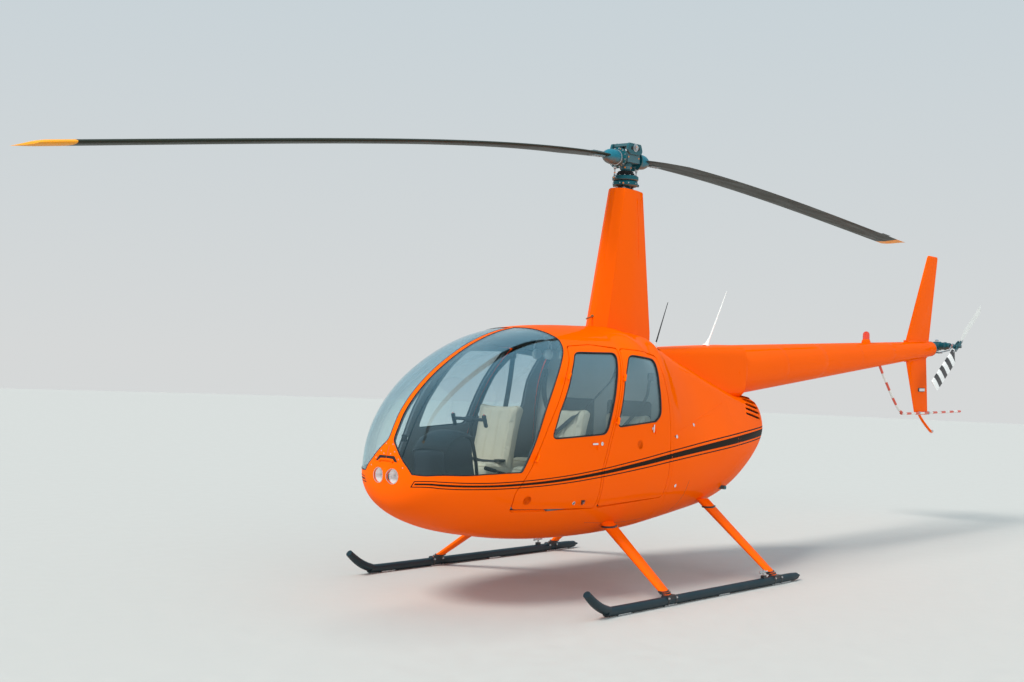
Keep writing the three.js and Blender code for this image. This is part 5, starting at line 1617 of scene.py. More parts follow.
# Columns: x, height of the tube's middle, radius
SKID_LINE = ((-0.940, SKID_Z, 0.008), (-0.870, SKID_Z, 0.019), (-0.80, SKID_Z, SKID_RADIUS),
             (0.2, SKID_Z, SKID_RADIUS), (1.400, SKID_Z, SKID_RADIUS),
             (1.490, SKID_Z + 0.009, SKID_RADIUS), (1.570, SKID_Z + 0.036, SKID_RADIUS),
             (1.645, SKID_Z + 0.079, 0.0285), (1.714, 0.165, 0.0245))
LEGS = {"front": ((0.812, SKID_Y), (0.715, 0.44, 0.50)), "back": ((-0.580, SKID_Y), (-0.540, 0.44, 0.575))}
SHOES = (-0.72, -0.580, 0.15, 0.812, 1.33)
CLAMP_BOLT_Y = 0.028
LEG_FOOT_IN, LEG_FOOT_Z, LEG_NOSE = 0.022, 0.0705, 0.46
TOW_FITTING = (-0.41, SKID_Y, 0.062)
# Bands on a leg: share of its length, chord, share of the section's thickness
LEG_BANDS = ((0.012, 0.106, 1.0), (0.035, 0.106, 1.0), (0.895, 0.157, 0.90))


def skid():
    """A skid tube with its wear shoes and the clamps of its legs."""
    line = smooth_line(SKID_LINE, 0.04)
    points = [(x, SKID_Y, z) for x, z, _ in line]
    shapes = [tube(points, line[:, 2], 20)]
    for x in SHOES:
        outline = [(x - 0.075, 0), (x + 0.075, 0), (x + 0.06, 0.015), (x - 0.06, 0.015)]
        shapes.append(prism(rounded(outline, 0.004), SKID_Y - 0.018, SKID_Y + 0.018, slot=1))
    for (x, y), _ in LEGS.values():
        outline = [(x - 0.06, 0.024), (x + 0.06, 0.024), (x + 0.052, 0.07), (x - 0.052, 0.07)]
        shapes.append(prism(rounded(outline, 0.012), y - CLAMP_BOLT_Y, y + CLAMP_BOLT_Y, slot=2))
        for shift in (-0.045, 0.045):
            shapes.append(lathe([(0.0305, -0.009), (0.0328, -0.007), (0.0328, 0.007), (0.0305, 0.009)],
                                (x + shift, y, SKID_Z), (1, 0, 0), 28, 2))
            for side in (-1, 1):
                shapes += bolt((x + shift, y + side * CLAMP_BOLT_Y, 0.052), (0, side, 0), 0.007, 0.006,
                               slot=1)
    return shapes


def tow_fitting():
    """The fitting for the ground wheels."""
    x, y, z = TOW_FITTING
    return [box((x - 0.02, y - 0.014, z - 0.006), (x + 0.02, y + 0.014, z + 0.02)),
            rod((x - 0.05, y, z + 0.045), (x + 0.05, y, z + 0.045), 0.007, slot=1),
            rod((x, y, z), (x, y, z + 0.06), 0.008, slot=1), ball((x + 0.05, y, z + 0.045), 0.011, 1)]


def leg(foot, knee):
    """A faired strut: an aerofoil section from the hull down to its clamp."""
    down, up = Vector((foot[0], foot[1] - LEG_FOOT_IN, LEG_FOOT_Z)), Vector(knee)
    line = aerofoil(0.6, 12)
    rings = []
    for t in np.linspace(0, 1, 9):
        at = down.lerp(up, t)
        chord = 0.100 + 0.052 * t
        rings.append([(at.x + (LEG_NOSE - along) * chord, at.y + half * chord * (0.97 - 0.15 * t), at.z)
                      for along, half in line])
    return loft(rings)


def leg_details(foot, knee):
    """Two bands above the clamp, and the gasket where the strut enters the hull."""
    down, up = Vector((foot[0], foot[1] - LEG_FOOT_IN, LEG_FOOT_Z)), Vector(knee)
    shapes = []
    for share, chord, wide in LEG_BANDS:
        at = down.lerp(up, share)
        line = [(at.x + (LEG_NOSE - along) * chord, at.y + half * chord * wide, at.z) for along,
                half in aerofoil(0.62, 12)]
        shapes.append(loft([[(x, y, z + d) for x, y, z in line] for d in (-0.006, 0.006)]))
    return shapes


def landing_gear():
    for side, flip, _ in SIDES:
        piece(f"skid_tube_{side}", skid(), [SKID, STEEL, BLACK], replaces=f"skid_{side}", bevel=0.0015,
              flip=flip)
        piece(f"tow_fitting_{side}", tow_fitting(), [BLACK, STEEL], bevel=0.0015, flip=flip)
        for name, (foot, knee) in LEGS.items():
            piece(f"leg_{name}_{side}_faired", [leg(foot, knee)], PAINT, replaces=f"leg_{name}_{side}",
                  sharp=60, flip=flip)
            piece(f"leg_{name}_{side}_bands", leg_details(foot, knee), BLACK, sharp=60, flip=flip)


landing_gear()


# Inside: bulkhead, floor, cushions swelled by cloth, console, controls, belts, headsets and engine

# Columns: row, X and height of the back's middle, its lean in degrees, X of the cushion's middle
SEATS = (("front", 1.045, 1.030, 13, 1.205), ("rear", 0.305, 0.985, 8, 0.52))
SEAT_Y = 0.30
CUSHION_Z = 0.801
BASE_TILT = Matrix.Rotation(math.radians(-2), 4, "Y")
WELT_INSET, WELT_RADIUS = 0.004, 0.0042
BACK_HALF = np.array((0.038, 0.198, 0.248))
BASE_HALF = np.array((0.165, 0.198, 0.047))
SOFT_ROUND = 0.034
SWELL = {"back": 0.016, "base": 0.011}
WAIST = 0.035
CHANNELS = (-0.135, -0.045, 0.045, 0.135)
CHANNEL_WIDTH, CHANNEL_DEPTH, CROWN = 0.09, 0.0075, 0.004
VOXEL = 0.006
PRESSURE, CLOTH_FRAMES = 4, 20


def section_outline(x, inward, count=60):
    """Y and Z of the skin's section at X, moved in, as a closed outline."""
    angles = np.linspace(-math.pi / 2, math.pi / 2, count)
    row = np.full(count, row_at([x])[0])
    points = skin(row, angles) - skin_normal(row, angles) * inward
    half = [(y, z) for _, y, z in points]
    return half + [(-y, z) for y, z in half[-2:0:-1]]


def cushion_block(half):
    """A closed rounded block whose sides draw in between its corners."""
    work = bmesh.new()
    bmesh.ops.create_cube(work, size=2)
    bmesh.ops.subdivide_edges(work, edges=work.edges, cuts=26, use_grid_fill=True)
    corner = np.array([tuple(vert.co) for vert in work.verts]) * half
    core = np.clip(corner, SOFT_ROUND - half, half - SOFT_ROUND)
    off = corner - core
    made = core + SOFT_ROUND * off / np.linalg.norm(off, axis=1, keepdims=True)
    share = made / half
    wide, long = [axis for axis in (0, 1, 2) if half[axis] > 0.1]
    made[:, wide] *= 1 - WAIST * (1 - share[:, long] ** 2)
    made[:, long] *= 1 - WAIST * (1 - share[:, wide] ** 2)
    faces = [[vert.index for vert in face.verts] for face in work.faces]
    work.free()
    mesh = bpy.data.meshes.new("cushion")
    mesh.from_pydata(made.tolist(), [], faces)
    return added("cushion", mesh)


def settled(held):
    """The mesh that an object's modifiers make of it, as arrays."""
    seen = held.evaluated_get(bpy.context.evaluated_depsgraph_get())
    mesh = bpy.data.meshes.new_from_object(seen)
    points = np.array([tuple(vert.co) for vert in mesh.vertices])
    return points, [tuple(face.vertices) for face in mesh.polygons], mesh


def swelled(half, limit):
    """A cushion block swelled by cloth pressure, no point moving more than the limit."""
    held = cushion_block(half)
    remesh = held.modifiers.new("remesh", "REMESH")
    remesh.mode = "VOXEL"
    remesh.voxel_size = VOXEL
    start, faces, mesh = settled(held)
    held.modifiers.clear()
    held.data = mesh
    cloth = held.modifiers.new("cloth", "CLOTH")
    cloth.settings.use_pressure = True
    cloth.settings.uniform_pressure_force = PRESSURE
    cloth.settings.effector_weights.gravity = 0
    cloth.point_cache.frame_start, cloth.point_cache.frame_end = 1, CLOTH_FRAMES
    for step in range(CLOTH_FRAMES):
        bpy.context.scene.frame_set(step + 1)
    moved = settled(held)[0] - start
    bpy.context.scene.frame_set(1)
    length = np.linalg.norm(moved, axis=1, keepdims=True)
    held_to = start + moved * np.minimum(1, limit / np.maximum(length, 1e-9))
    bpy.data.objects.remove(held)
    return held_to, faces


def channelled(points, face_axis, run_axis, run_half):
    """Sewn channels across the front face: a crown between two seams, and a groove at each seam."""
    wide = points[:, 1]
    reach = np.abs(points[:, run_axis]) / run_half
    front = np.clip((points[:, face_axis] - 0.012) / 0.012, 0, 1)
    fade = front * np.clip((0.93 - reach) / 0.12, 0, 1) * np.clip((0.186 - np.abs(wide)) / 0.01, 0, 1)
    lift = CROWN * np.abs(np.cos(math.pi * wide / CHANNEL_WIDTH)) ** 0.6
    for middle in CHANNELS:
        lift = lift - CHANNEL_DEPTH * np.exp(-(((wide - middle) / 0.0055) ** 2))
    made = points.copy()
    made[:, face_axis] += lift * fade
    return made


def welt(points, faces, half, face_axis, sign=1):
    """A corded seam laid on the cushion round the edge of one face."""
    other = 2 if face_axis == 0 else 0
    width, length = half[1] - WELT_INSET, half[other] - WELT_INSET
    outline = rectangle((-width, -length), (width, length), 0.05, 0.012)
    tree = BVHTree.FromPolygons([Vector(p) for p in points], faces)
    line = []
    for wide, run in outline:
        seek = Vector((0, wide, 0))
        seek[other] = run
        seek[face_axis] = sign * half[face_axis] * 1.1
        line.append(tree.find_nearest(seek)[0])
    return tube(line, WELT_RADIUS, 8, closed=True)


def seats():
    """Backs, cushions and welts of the four seats."""
    back, back_faces = swelled(BACK_HALF, SWELL["back"])
    base, base_faces = swelled(BASE_HALF, SWELL["base"])
    back_seams = [welt(back, back_faces, BACK_HALF, 0), welt(back, back_faces, BACK_HALF, 0, -1)]
    base_seams = [welt(base, base_faces, BASE_HALF, 2), welt(base, base_faces, BASE_HALF, 2, -1)]
    back = Shape(channelled(back, 0, 2, BACK_HALF[2]), back_faces)
    base = Shape(channelled(base, 2, 0, BASE_HALF[0]), base_faces)
    for row, back_x, back_z, degrees, base_x in SEATS:
        lean = Matrix.Rotation(math.radians(-degrees), 4, "Y")
        for side, _, sign in SIDES:
            node = f"seat_{row}_{side}"
            upright = Matrix.Translation((back_x, sign * SEAT_Y, back_z)) @ lean
            level = Matrix.Translation((base_x, sign * SEAT_Y, CUSHION_Z)) @ BASE_TILT
            for part, shape in (("back", back.moved(upright)), ("cushion", base.moved(level))):
                made = piece(f"{node}_{part}", [shape], LEATHER, replaces=node, sharp=180)
            seams = place_all(back_seams, upright) + place_all(base_seams, level)
            piece(f"{node}_welts", seams, WELT, sharp=180)


FLOOR_SPAN, FLOOR_BOTTOM = (0.214, 2.13), 0.597
# Seat boxes and tunnel, as low and high corners
FLOOR_BOXES = (((1.0, -0.56, 0.61), (1.5, 0.56, 0.7385)), ((0.2135, -0.56, 0.61), (0.76, 0.56, 0.7385)),
               ((1.49, -0.06, 0.61), (1.69, 0.06, 0.719)))


def floor_and_bulkhead():
    """The bulkhead, the carpeted floor with its seat boxes, and the box lids."""
    wall = section_outline(FIREWALL_X + 0.012, WALL + 0.001)
    plate = [prism(wall, FIREWALL_X + 0.001, FIREWALL_X + 0.021, axis="x")]
    for y in (-0.26, 0.26):
        plate.append(prism(rectangle((y - 0.2, 0.80), (y + 0.2, 1.32), 0.03),
                           FIREWALL_X + 0.0212, FIREWALL_X + 0.026, axis="x", slot=1))
    piece("bulkhead", plate, [TRIM, DARK_TRIM], slot="black_plastic", bevel=0.003)
    xs = np.linspace(*FLOOR_SPAN, 40)
    rows = row_at(xs)
    rings = []
    for x, row in zip(xs, rows):
        edges = []
        for z in (FLOOR_BOTTOM, FLOOR_TOP):
            angle = angle_at([row], [z])
            (point,), (normal,) = skin(row, angle), skin_normal(row, angle)
            point = point - normal * (WALL + 0.002)
            edges.append(max(0.02, float(point[1])))
        low, high = edges
        rings.append([(x, -low, FLOOR_BOTTOM), (x, low, FLOOR_BOTTOM), (x, high, FLOOR_TOP),
                      (x, -high, FLOOR_TOP)])
    piece("floor_carpet", [loft(rings)] + [box(*corners) for corners in FLOOR_BOXES], CARPET,
          replaces="cabin_floor", bevel=0.008)
    lids = []
    for low, high in ((1.08, 1.49), (0.29, 0.75)):
        for side in (1, -1):
            outline = rectangle((low, side * 0.09), (high, side * 0.53), 0.03)
            lids.append(prism(outline, 0.7386, 0.7415, axis="z"))
    piece("seat_box_lids", lids, DARK_TRIM, bevel=0.001)


def gauge(at, radius, toward=(-1, 0, 0.15)):
    """A round instrument: bezel, dark face, tick marks and a needle."""
    at = Vector(at)
    turn = aimed(at, Vector(toward).normalized())
    shapes = [lathe([(radius, 0), (radius, 0.006), (radius * 0.86, 0.008), (radius * 0.84, 0.003),
                     (0.001, 0.003)], steps=28)]
    for k in range(10):
        a = math.radians(-140 + 31 * k)
        mark = box((radius * 0.62, -0.0008, 0.003), (radius * 0.76, 0.0008, 0.0042), slot=1)
        shapes.append(mark.moved(Matrix.Rotation(a, 4, "Z")))
    needle = box((-radius * 0.1, -0.001, 0.004), (radius * 0.7, 0.001, 0.0052), 1)
    shapes.append(needle.moved(Matrix.Rotation(0.9 + at.y * 9, 4, "Z")))
    return [shape.moved(turn) for shape in shapes]


# The console's side outline and its hood's section, as X and Z
CONSOLE_SIDE = ((1.70, 0.6203), (2.03, 0.6203), (2.035, 0.98), (1.90, 1.075), (1.79, 1.055), (1.745, 0.86))
CONSOLE_HOOD = ((2.035, 1.0), (1.98, 1.075), (1.88, 1.112), (1.775, 1.098))
HOOD_HALF = 0.15


def console():
    """The instrument console with its hood, six gauges and a row of switches."""
    shapes = [prism(rounded(CONSOLE_SIDE, 0.03), -0.13, 0.13)]
    hood = smooth_line(CONSOLE_HOOD, 0.02)
    rings = []
    for y in np.linspace(-HOOD_HALF, HOOD_HALF, 15):
        sink = 0.03 * (abs(y) / HOOD_HALF) ** 3
        rings.append([(x, y, z - sink) for x, z in hood] + [(x, y, z - sink - 0.01) for x, z in hood[::-1]])
    shapes.append(loft(rings, slot=1))
    for y in (-0.09, 0.0, 0.09):
        shapes += [shape.painted(shape.slot + 2) for shape in gauge((1.7685, y, 1.035), 0.036)]
        shapes += [shape.painted(shape.slot + 2) for shape in gauge((1.7585, y, 0.935), 0.034)]
    for k in range(6):
        y = -0.1 + 0.04 * k
        shapes.append(rod((1.735, y, 0.80), (1.715, y, 0.808), 0.004, slot=3))
        shapes.append(box((1.715, y - 0.014, 0.72), (1.735, y + 0.014, 0.755), 2))
    piece("console_body", shapes, [DARK_TRIM, BLACK, BLACK, WHITE], replaces="instrument_console",
          bevel=0.002)


# The cyclic's stem from floor to bar, and turned profiles of (radius, height)
STEM = ((1.56, 0, 0.70), (1.565, 0, 0.78), (1.585, 0, 0.90), (1.64, 0, 1.08), (1.655, 0, 1.18))
STEM_BOOT = ((0.045, 0), (0.04, 0.012), (0.024, 0.03), (0.026, 0.04), (0.016, 0.055), (0.0142, 0.07))
GRIP = ((0.010, -0.042), (0.014, -0.034), (0.013, -0.012), (0.0145, 0.004), (0.0135, 0.018),
        (0.0150, 0.034), (0.011, 0.042))
GRIP_Y = 0.14
PEDALS_Y = (0.17, 0.33, -0.17, -0.33)
COLLECTIVES_Y = (0.05, -0.545)


def cyclic():
    """The T-shaped stick: a curved stem, its boot, and a bar with a grip at each end."""
    x, _, z = STEM[-1]
    shapes = [tube(smooth_line(STEM, 0.02), 0.0120, 14), rod((x, -GRIP_Y, z), (x, GRIP_Y, z), 0.0115),
              lathe([(0.019, -0.035), (0.022, -0.025), (0.022, 0.025), (0.019, 0.035)], (x, 0, z),
                    (0, 1, 0))]
    shapes.append(lathe(STEM_BOOT, (1.56, 0, 0.7195), (0.06, 0, 1), slot=1))
    for y in (-GRIP_Y, GRIP_Y):
        shapes.append(lathe(GRIP, (1.662, y, 1.172), (0.35, 0, 1), slot=1))
        shapes.append(rod((1.674, y, 1.212), (1.678, y, 1.216), 0.004, slot=2))
    piece("cyclic_tbar_parts", shapes, [BLACK, RUBBER, RED_LENS], replaces="cyclic_tbar")


def pedals():
    """Four pedals, each a plate with four ribs on a stem."""
    shapes = []
    for y in PEDALS_Y:
        shapes.append(prism(rectangle((y - 0.035, 0.70), (y + 0.035, 0.80), 0.012),
                            2.045, 2.053, axis="x"))
        for z in (0.715 + 0.02 * k for k in range(4)):
            shapes.append(box((2.041, y - 0.028, z), (2.046, y + 0.028, z + 0.007), 1))
        shapes.append(rod((2.05, y, 0.71), (2.06, y, 0.621), 0.007))
    piece("pedals", shapes, [ALLOY, RUBBER], slot="bare_metal", bevel=0.001)


def collective_levers():
    """A lever beside each front seat, with a thicker grip."""
    levers = []
    for y in COLLECTIVES_Y:
        levers += [rod((1.12, y, 0.76), (1.44, y, 0.83), 0.009),
                   rod((1.44, y, 0.83), (1.54, y, 0.852), 0.014, slot=1)]
    piece("collective_levers", levers, [BLACK, RUBBER])


def strap(points, facing, width=0.046, slot=0):
    """Flat webbing along points, its broad face turned one way."""
    line = smooth_line(points, 0.015)
    facing = Vector(facing).normalized()
    rings = []
    for i, at in enumerate(line):
        way = Vector(line[min(i + 1, len(line) - 1)] - line[max(i - 1, 0)]).normalized()
        side = way.cross(facing).normalized() * width / 2
        out = side.cross(way).normalized() * 0.0011
        rings.append([Vector(at) + side + out, Vector(at) - side + out, Vector(at) - side - out,
                      Vector(at) + side - out])
    return loft(rings, slot=slot)


# Shoulder belts, from anchor to buckle. The starboard front one hangs beside its seat
FRONT_BELT = ((0.67, 0.487, 1.63), (0.707, 0.47, 1.486), (0.817, 0.45, 1.387), (0.914, 0.43, 1.30),
              (1.06, 0.425, 1.225), (1.095, 0.344, 1.144), (1.118, 0.25, 1.06), (1.145, 0.19, 0.97),
              (1.175, 0.14, 0.885))
HANGING_BELT = ((0.67, 0.487, 1.63), (0.69, 0.50, 1.40), (0.73, 0.515, 1.15), (0.80, 0.52, 0.95),
                (0.90, 0.52, 0.82))
REAR_BELT = ((0.28, 0.49, 1.50), (0.31, 0.47, 1.33), (0.36, 0.36, 1.17), (0.43, 0.23, 1.0),
             (0.465, 0.14, 0.875))


def belts():
    """Shoulder and lap belts with their buckles and anchors."""
    for side, flip, _ in SIDES:
        shapes = []
        for x, route in ((0.98, HANGING_BELT if flip else FRONT_BELT), (0.275, REAR_BELT)):
            top = route[0]
            shapes.append(strap(route, (1, -0.45, 0.2), 0.038))
            shapes.append(strap([(x + 0.13, 0.515, 0.78), (x + 0.19, 0.46, 0.872), (x + 0.22, 0.30, 0.870),
                                 (x + 0.19, 0.16, 0.872)], (0.25, 0, 1)))
            shapes.append(prism(rectangle((x + 0.16, 0.115), (x + 0.225, 0.175), 0.01),
                                0.870, 0.886, axis="z", slot=1))
            shapes.append(prism(rectangle((top[0] - 0.03, top[2] - 0.03), (top[0] + 0.03, top[2] + 0.03),
                                          0.015), top[1] - 0.005, top[1] + 0.01, slot=1))
        piece(f"belts_{side}", shapes, [WEBBING, BLACK], slot="black_plastic", flip=flip)


def headset(x, z):
    """Two ear cups on a sprung band, hung from the cabin roof."""
    shapes = []
    for sign in (1, -1):
        at = (x, sign * 0.06, z)
        shapes.append(lathe([(0.001, -0.022), (0.022, -0.02), (0.034, -0.008), (0.037, 0.004),
                             (0.034, 0.012)], at, (0, -sign, 0), 28))
        shapes.append(lathe([(0.034, 0.011), (0.037, 0.018), (0.032, 0.028), (0.018, 0.03)], at,
                            (0, -sign, 0), 28, 1))
        shapes.append(rod((x, sign * 0.078, z - 0.004), (x, sign * 0.08, z + 0.045), 0.004, slot=1))
    arc = [(x, 0.08 * math.cos(a), z + 0.045 + 0.065 * math.sin(a))
           for a in np.linspace(0, math.pi, 24).tolist()]
    shapes.append(tube(arc, 0.0055, 10, 1))
    shapes.append(tube(smooth_line([(x, 0, z + 0.105), (x, 0.01, z + 0.125), (x, 0, z + 0.17)], 0.01),
                       0.003, 8, 1))
    return shapes


def cylinder_profile():
    """A cooled cylinder: thin rings round a barrel, and a head."""
    profile = [(0.05, 0.0)]
    for fin_at in np.arange(0.02, 0.095, 0.0125).tolist():
        profile += [(0.048, fin_at), (0.068, fin_at + 0.001), (0.068, fin_at + 0.004),
                    (0.048, fin_at + 0.005)]
    return profile + [(0.048, 0.105), (0.058, 0.107), (0.058, 0.125), (0.045, 0.132)]


def engine():
    """Crankcase, sump, six cylinders with their exhausts, and the two rails that hold them."""
    shapes = [prism(rounded([(-0.16, 0.70), (0.16, 0.70), (0.19, 0.80), (0.16, 0.93), (-0.16, 0.93),
                             (-0.19, 0.80)], 0.03), -0.87, -0.30, axis="x")]
    shapes.append(prism(rounded([(-0.11, 0.645), (0.11, 0.645), (0.13, 0.71), (-0.13, 0.71)], 0.02), -0.80,
                        -0.36, axis="x", slot=1))
    for sign in (1, -1):
        for k in range(3):
            x = -0.77 + 0.18 * k + (0.03 if sign > 0 else 0)
            shapes.append(lathe(cylinder_profile(), (x, sign * 0.19, 0.815), (0, sign, 0), 24, 1))
            shapes.append(tube(smooth_line([(x, sign * 0.27, 0.755), (x, sign * 0.27, 0.70),
                                            (x - 0.03, sign * 0.22, 0.672)], 0.02), 0.018, 12, 2))
            shapes += bolt((x, sign * 0.3225, 0.815), (0, sign, 0), 0.009, 0.002, slot=3)
        shapes.append(rod((-0.86, sign * 0.22, 0.668), (-0.34, sign * 0.22, 0.668), 0.024, slot=2))
    for x in (-0.82, -0.34):
        shapes.append(rod((x, -0.47, 0.652), (x, 0.47, 0.652), 0.0155, slot=4))
    piece("engine_parts", shapes, [ALLOY, ALLOY, EXHAUST, STEEL, HEAD_METAL], replaces="engine_block",
          slot="bare_metal", bevel=0.002)


floor_and_bulkhead()
seats()
console()
cyclic()
pedals()
collective_levers()
belts()
piece("headsets", headset(0.92, 1.635) + headset(0.76, 1.635), [WHITE, HEADSET_GREY], slot="white_paint")
engine()


# Lamps, vent, hinges, latches, rivet rows and seams on the cabin and cowls

def at_skin(x, z, lift=0.0):
    points, normals = on_skin(on_side([(x, z)]), -lift)
    return Vector(points[0]), Vector(normals[0])


def on_face(x, z, shapes, lift=0.0):
    """Shapes built flat, X along the hull and Z out of it, set on the skin's port side."""
    at, out = at_skin(x, z, lift)
    ahead = (Vector((1, 0, 0)) - out * out.x).normalized()
    up = out.cross(ahead)
    turn = Matrix((ahead, up, out)).transposed().to_4x4()
    return place_all(shapes, Matrix.Translation(at) @ turn)


LAMP_BOWL = ((0.010, 0.0), (0.022, 0.005), (0.034, 0.02), (0.042, 0.04), (0.0455, 0.050), (0.0475, 0.050),
             (0.0475, 0.03), (0.030, -0.004), (0.010, -0.006))  # radius, length


def lamps():
    """The landing lamps: bowl, bulb, bar, lens and ring."""
    for side, flip, _ in SIDES:
        at = (LAMP["x"], LAMP["y"], LAMP["z"])
        bowl = lathe(LAMP_BOWL, at, (1, 0, 0), 40)
        bulb = lathe([(0.011, 0.001), (0.012, 0.012), (0.009, 0.024), (0.001, 0.028)], at, (1, 0, 0), 20, 1)
        bars = [rod((2.375, LAMP["y"] - 0.03, LAMP["z"]), (2.375, LAMP["y"] + 0.03, LAMP["z"]), 0.0015,
                    slot=2)]
        piece(f"landing_lamp_{side}", [bowl, bulb] + bars, [REFLECTOR, WHITE, STEEL],
              replaces=f"landing_light_{side}", slot="bare_metal", flip=flip)
        piece(f"lamp_lens_{side}", panel(lamp_loop(0.0465), depth=0.004, thick=0.002, inner_slot=0), LENS,
              flip=flip)
        piece(f"lamp_ring_{side}", [strip(lamp_loop(0.0472), 0.0022, 0.001)], STEEL, slot="bare_metal",
              flip=flip)


# The vent on the nose, port half, as Y and Z: its mouth, the lip below and the brow above
# The mouth is no opening but a black sheet laid on the skin: painted shade.
VENT = ((0.001, 0.942), (0.054, 0.940), (0.075, 0.921), (0.096, 0.921), (0.066, 0.957), (0.001, 0.957))
VENT_LIP = ((0.001, 0.932), (0.025, 0.932), (0.045, 0.930), (0.062, 0.922))
VENT_BROW = ((0.001, 0.960), (0.03, 0.960), (0.066, 0.960), (0.080, 0.946), (0.099, 0.922))
NOSE_SCREWS = ((0.03, 1.03), (0.06, 0.985), (0.10, 0.94), (0.14, 0.89), (0.03, 0.97))


def vent():
    """The vent on the nose, with its lips, screws and seam. Its mouth is a black sheet of painted shade,
    not an opening.
    """
    outline = rounded(VENT, 0.004, 0.006)
    # the vent's mouth: a black sheet just proud of the skin, painted shade where the opening would be
    plate = both(panel(on_nose(outline), depth=-0.0006, thick=0.002, spacing=0.01, inner_slot=0))
    piece("nose_vent", plate, RUBBER)
    beads = [strip(on_nose(VENT_LIP), 0.009, closed=False), strip(on_nose(VENT_BROW), 0.003, closed=False)]
    piece("nose_vent_lips", both(beads), PAINT)
    screws = []
    for place in NOSE_SCREWS:
        points, normals = on_skin(on_nose([place]))
        screws.append((points[0], normals[0]))
    piece("nose_screws", both([domes(screws, 0.0045)]), STEEL, slot="bare_metal")
    seam = strip(on_nose([(0.0025, 1.02), (0.0025, 0.985), (0.0025, 0.955)]), 0.0016, closed=False)
    piece("nose_seam", [seam], DARK_TRIM)


def gauge_on_bow():
    at = Vector((2.30, 0.036, 1.065))
    shapes = [box(at + Vector((-0.016, -0.012, -0.02)), at + Vector((0.014, 0.012, 0.024))),
              lathe([(0.011, 0), (0.012, 0.004), (0.009, 0.006)], at + Vector((-0.016, 0, 0)), (-1, 0, 0),
                    slot=1)]
    piece("bow_slip_gauge", shapes, [BLACK, WHITE], bevel=0.002)


def hinges():
    """Door hinges, each cut in a half that stays and a half that swings."""
    for row, _, _, points in DOORS:
        low, high = Vector(points[0]), Vector(points[1])
        way = (high - low).normalized()
        held, hung = [], []
        for at in (low, high):
            held += [rod(at - way * 0.025, at - way * 0.0004, 0.0078, sides=20),
                     rod(at - way * 0.013, at - way * 0.013 + Vector((0.016, -0.008, 0)), 0.0044)]
            hung += [rod(at + way * 0.0004, at + way * 0.025, 0.0078, sides=20),
                     rod(at + way * 0.013, at + way * 0.013 + Vector((-0.016, -0.008, 0)), 0.0044),
                     rod(at + way * 0.025, at + way * 0.0262, 0.004, slot=1)]
        for side, flip, _ in SIDES:
            piece(f"hinge_halves_{row}_{side}", held, PAINT, flip=flip)
            piece(f"door_hinge_halves_{row}_{side}", hung, [PAINT, STEEL], f"{row}_{side}_door", flip=flip)


COWL_LOCKS = ((0.147, 1.077), (-0.177, 1.155), (0.10, 0.72), (1.27, 0.655))  # X, Z
DISHES = ((1.70, 0.69), (0.62, 1.03))


def skin_fittings(lock, dish):
    """Step mark, cowl locks and dished screws, on the hull."""
    step = [prism(rounded([(-0.02, -0.018), (0.02, -0.018), (0, 0.02)], 0.008, 0.004), 0.0005, 0.006,
                  axis="z", slot=2), rod((0, -0.003, 0.004), (0, -0.003, 0.014), 0.007)]
    marks = on_face(1.183, 0.655, step)
    for x, z in COWL_LOCKS:
        marks += on_face(x, z, lock[:1], -0.0005)
    marks += on_face(0.17, 1.08, [rod((0, 0, -0.002), (0, 0, 0.001), 0.007, slot=2)])
    for x, z in DISHES:
        marks += on_face(x, z, dish)
    return marks


def latches():
    """Door handles, tabs and locks, and the fittings of the hull."""
    pull = [prism(rectangle((-0.028, -0.006), (0.028, 0.006), 0.005, 0.004), 0.006, 0.010, axis="z")]
    pull += [rod((x, 0, 0), (x, 0, 0.007), 0.004) for x in (-0.02, 0.02)]
    tab_outline = rounded([(-0.006, 0), (0.006, 0), (0.005, 0.042), (-0.005, 0.042)], 0.004, 0.004)
    tab = [prism(tab_outline, 0.0005, 0.007, axis="z", slot=1)]
    lock = [lathe([(0.0135, 0), (0.0135, 0.003), (0.011, 0.005), (0.0105, 0.0035), (0.001, 0.0035)]),
            box((-0.006, -0.001, 0.0036), (0.006, 0.001, 0.0042), slot=2)]
    dish = [lathe([(0.034, 0.0003), (0.033, 0.0012), (0.031, 0.0006), (0.030, 0.0003)], slot=1)]
    for side, flip, _ in SIDES:
        front = on_face(1.135, 1.045, pull) + on_face(1.105, 1.05, tab) + on_face(1.055, 1.045, lock)
        piece(f"door_latch_front_{side}", front, [CHROME, PAINT, BLACK], f"front_{side}_door",
              slot="bare_metal", bevel=0.0008, flip=flip)
        rear = on_face(0.468, 1.14, [shape.moved(Matrix.Rotation(1.45, 4, "Z")) for shape in pull[:1]]
                       + lock[:1])
        rear += on_face(0.44, 1.10, [shape.moved(Matrix.Rotation(2.9, 4, "Z")) for shape in tab])
        piece(f"door_latch_rear_{side}", rear, [CHROME, PAINT, BLACK], f"rear_{side}_door",
              slot="bare_metal", bevel=0.0008, flip=flip)
        piece(f"skin_fittings_{side}", skin_fittings(lock, dish), [CHROME, PAINT, BLACK],
              slot="bare_metal", flip=flip)


CREASE = ((0.217, 1.097), (-0.248, 1.189), (-0.846, 1.318))
LOW_CREASE = ((-0.246, 1.19), (-0.60, 1.235), (-0.84, 1.31))
FINE_SEAMS = (((1.02, 0.50), (0.6, 0.47), (0.24, 0.48)), ((-0.1, 0.75), (-0.104, 0.6), (-0.09, 0.5)))
# Rows of rivets, each from one X and Z to another
RIVET_LINES = (((0.225, 1.60), (0.218, 1.10)), ((0.205, 1.05), (0.20, 0.46)), ((0.03, 1.52), (0.02, 1.18)),
               ((-0.16, 1.46), (-0.17, 1.22)), ((-0.925, 1.33), (-0.925, 0.62)),
               ((-0.975, 1.33), (-0.975, 0.62)), ((-0.2, 0.52), (-0.9, 0.58)), ((1.9, 0.60), (2.2, 0.66)))


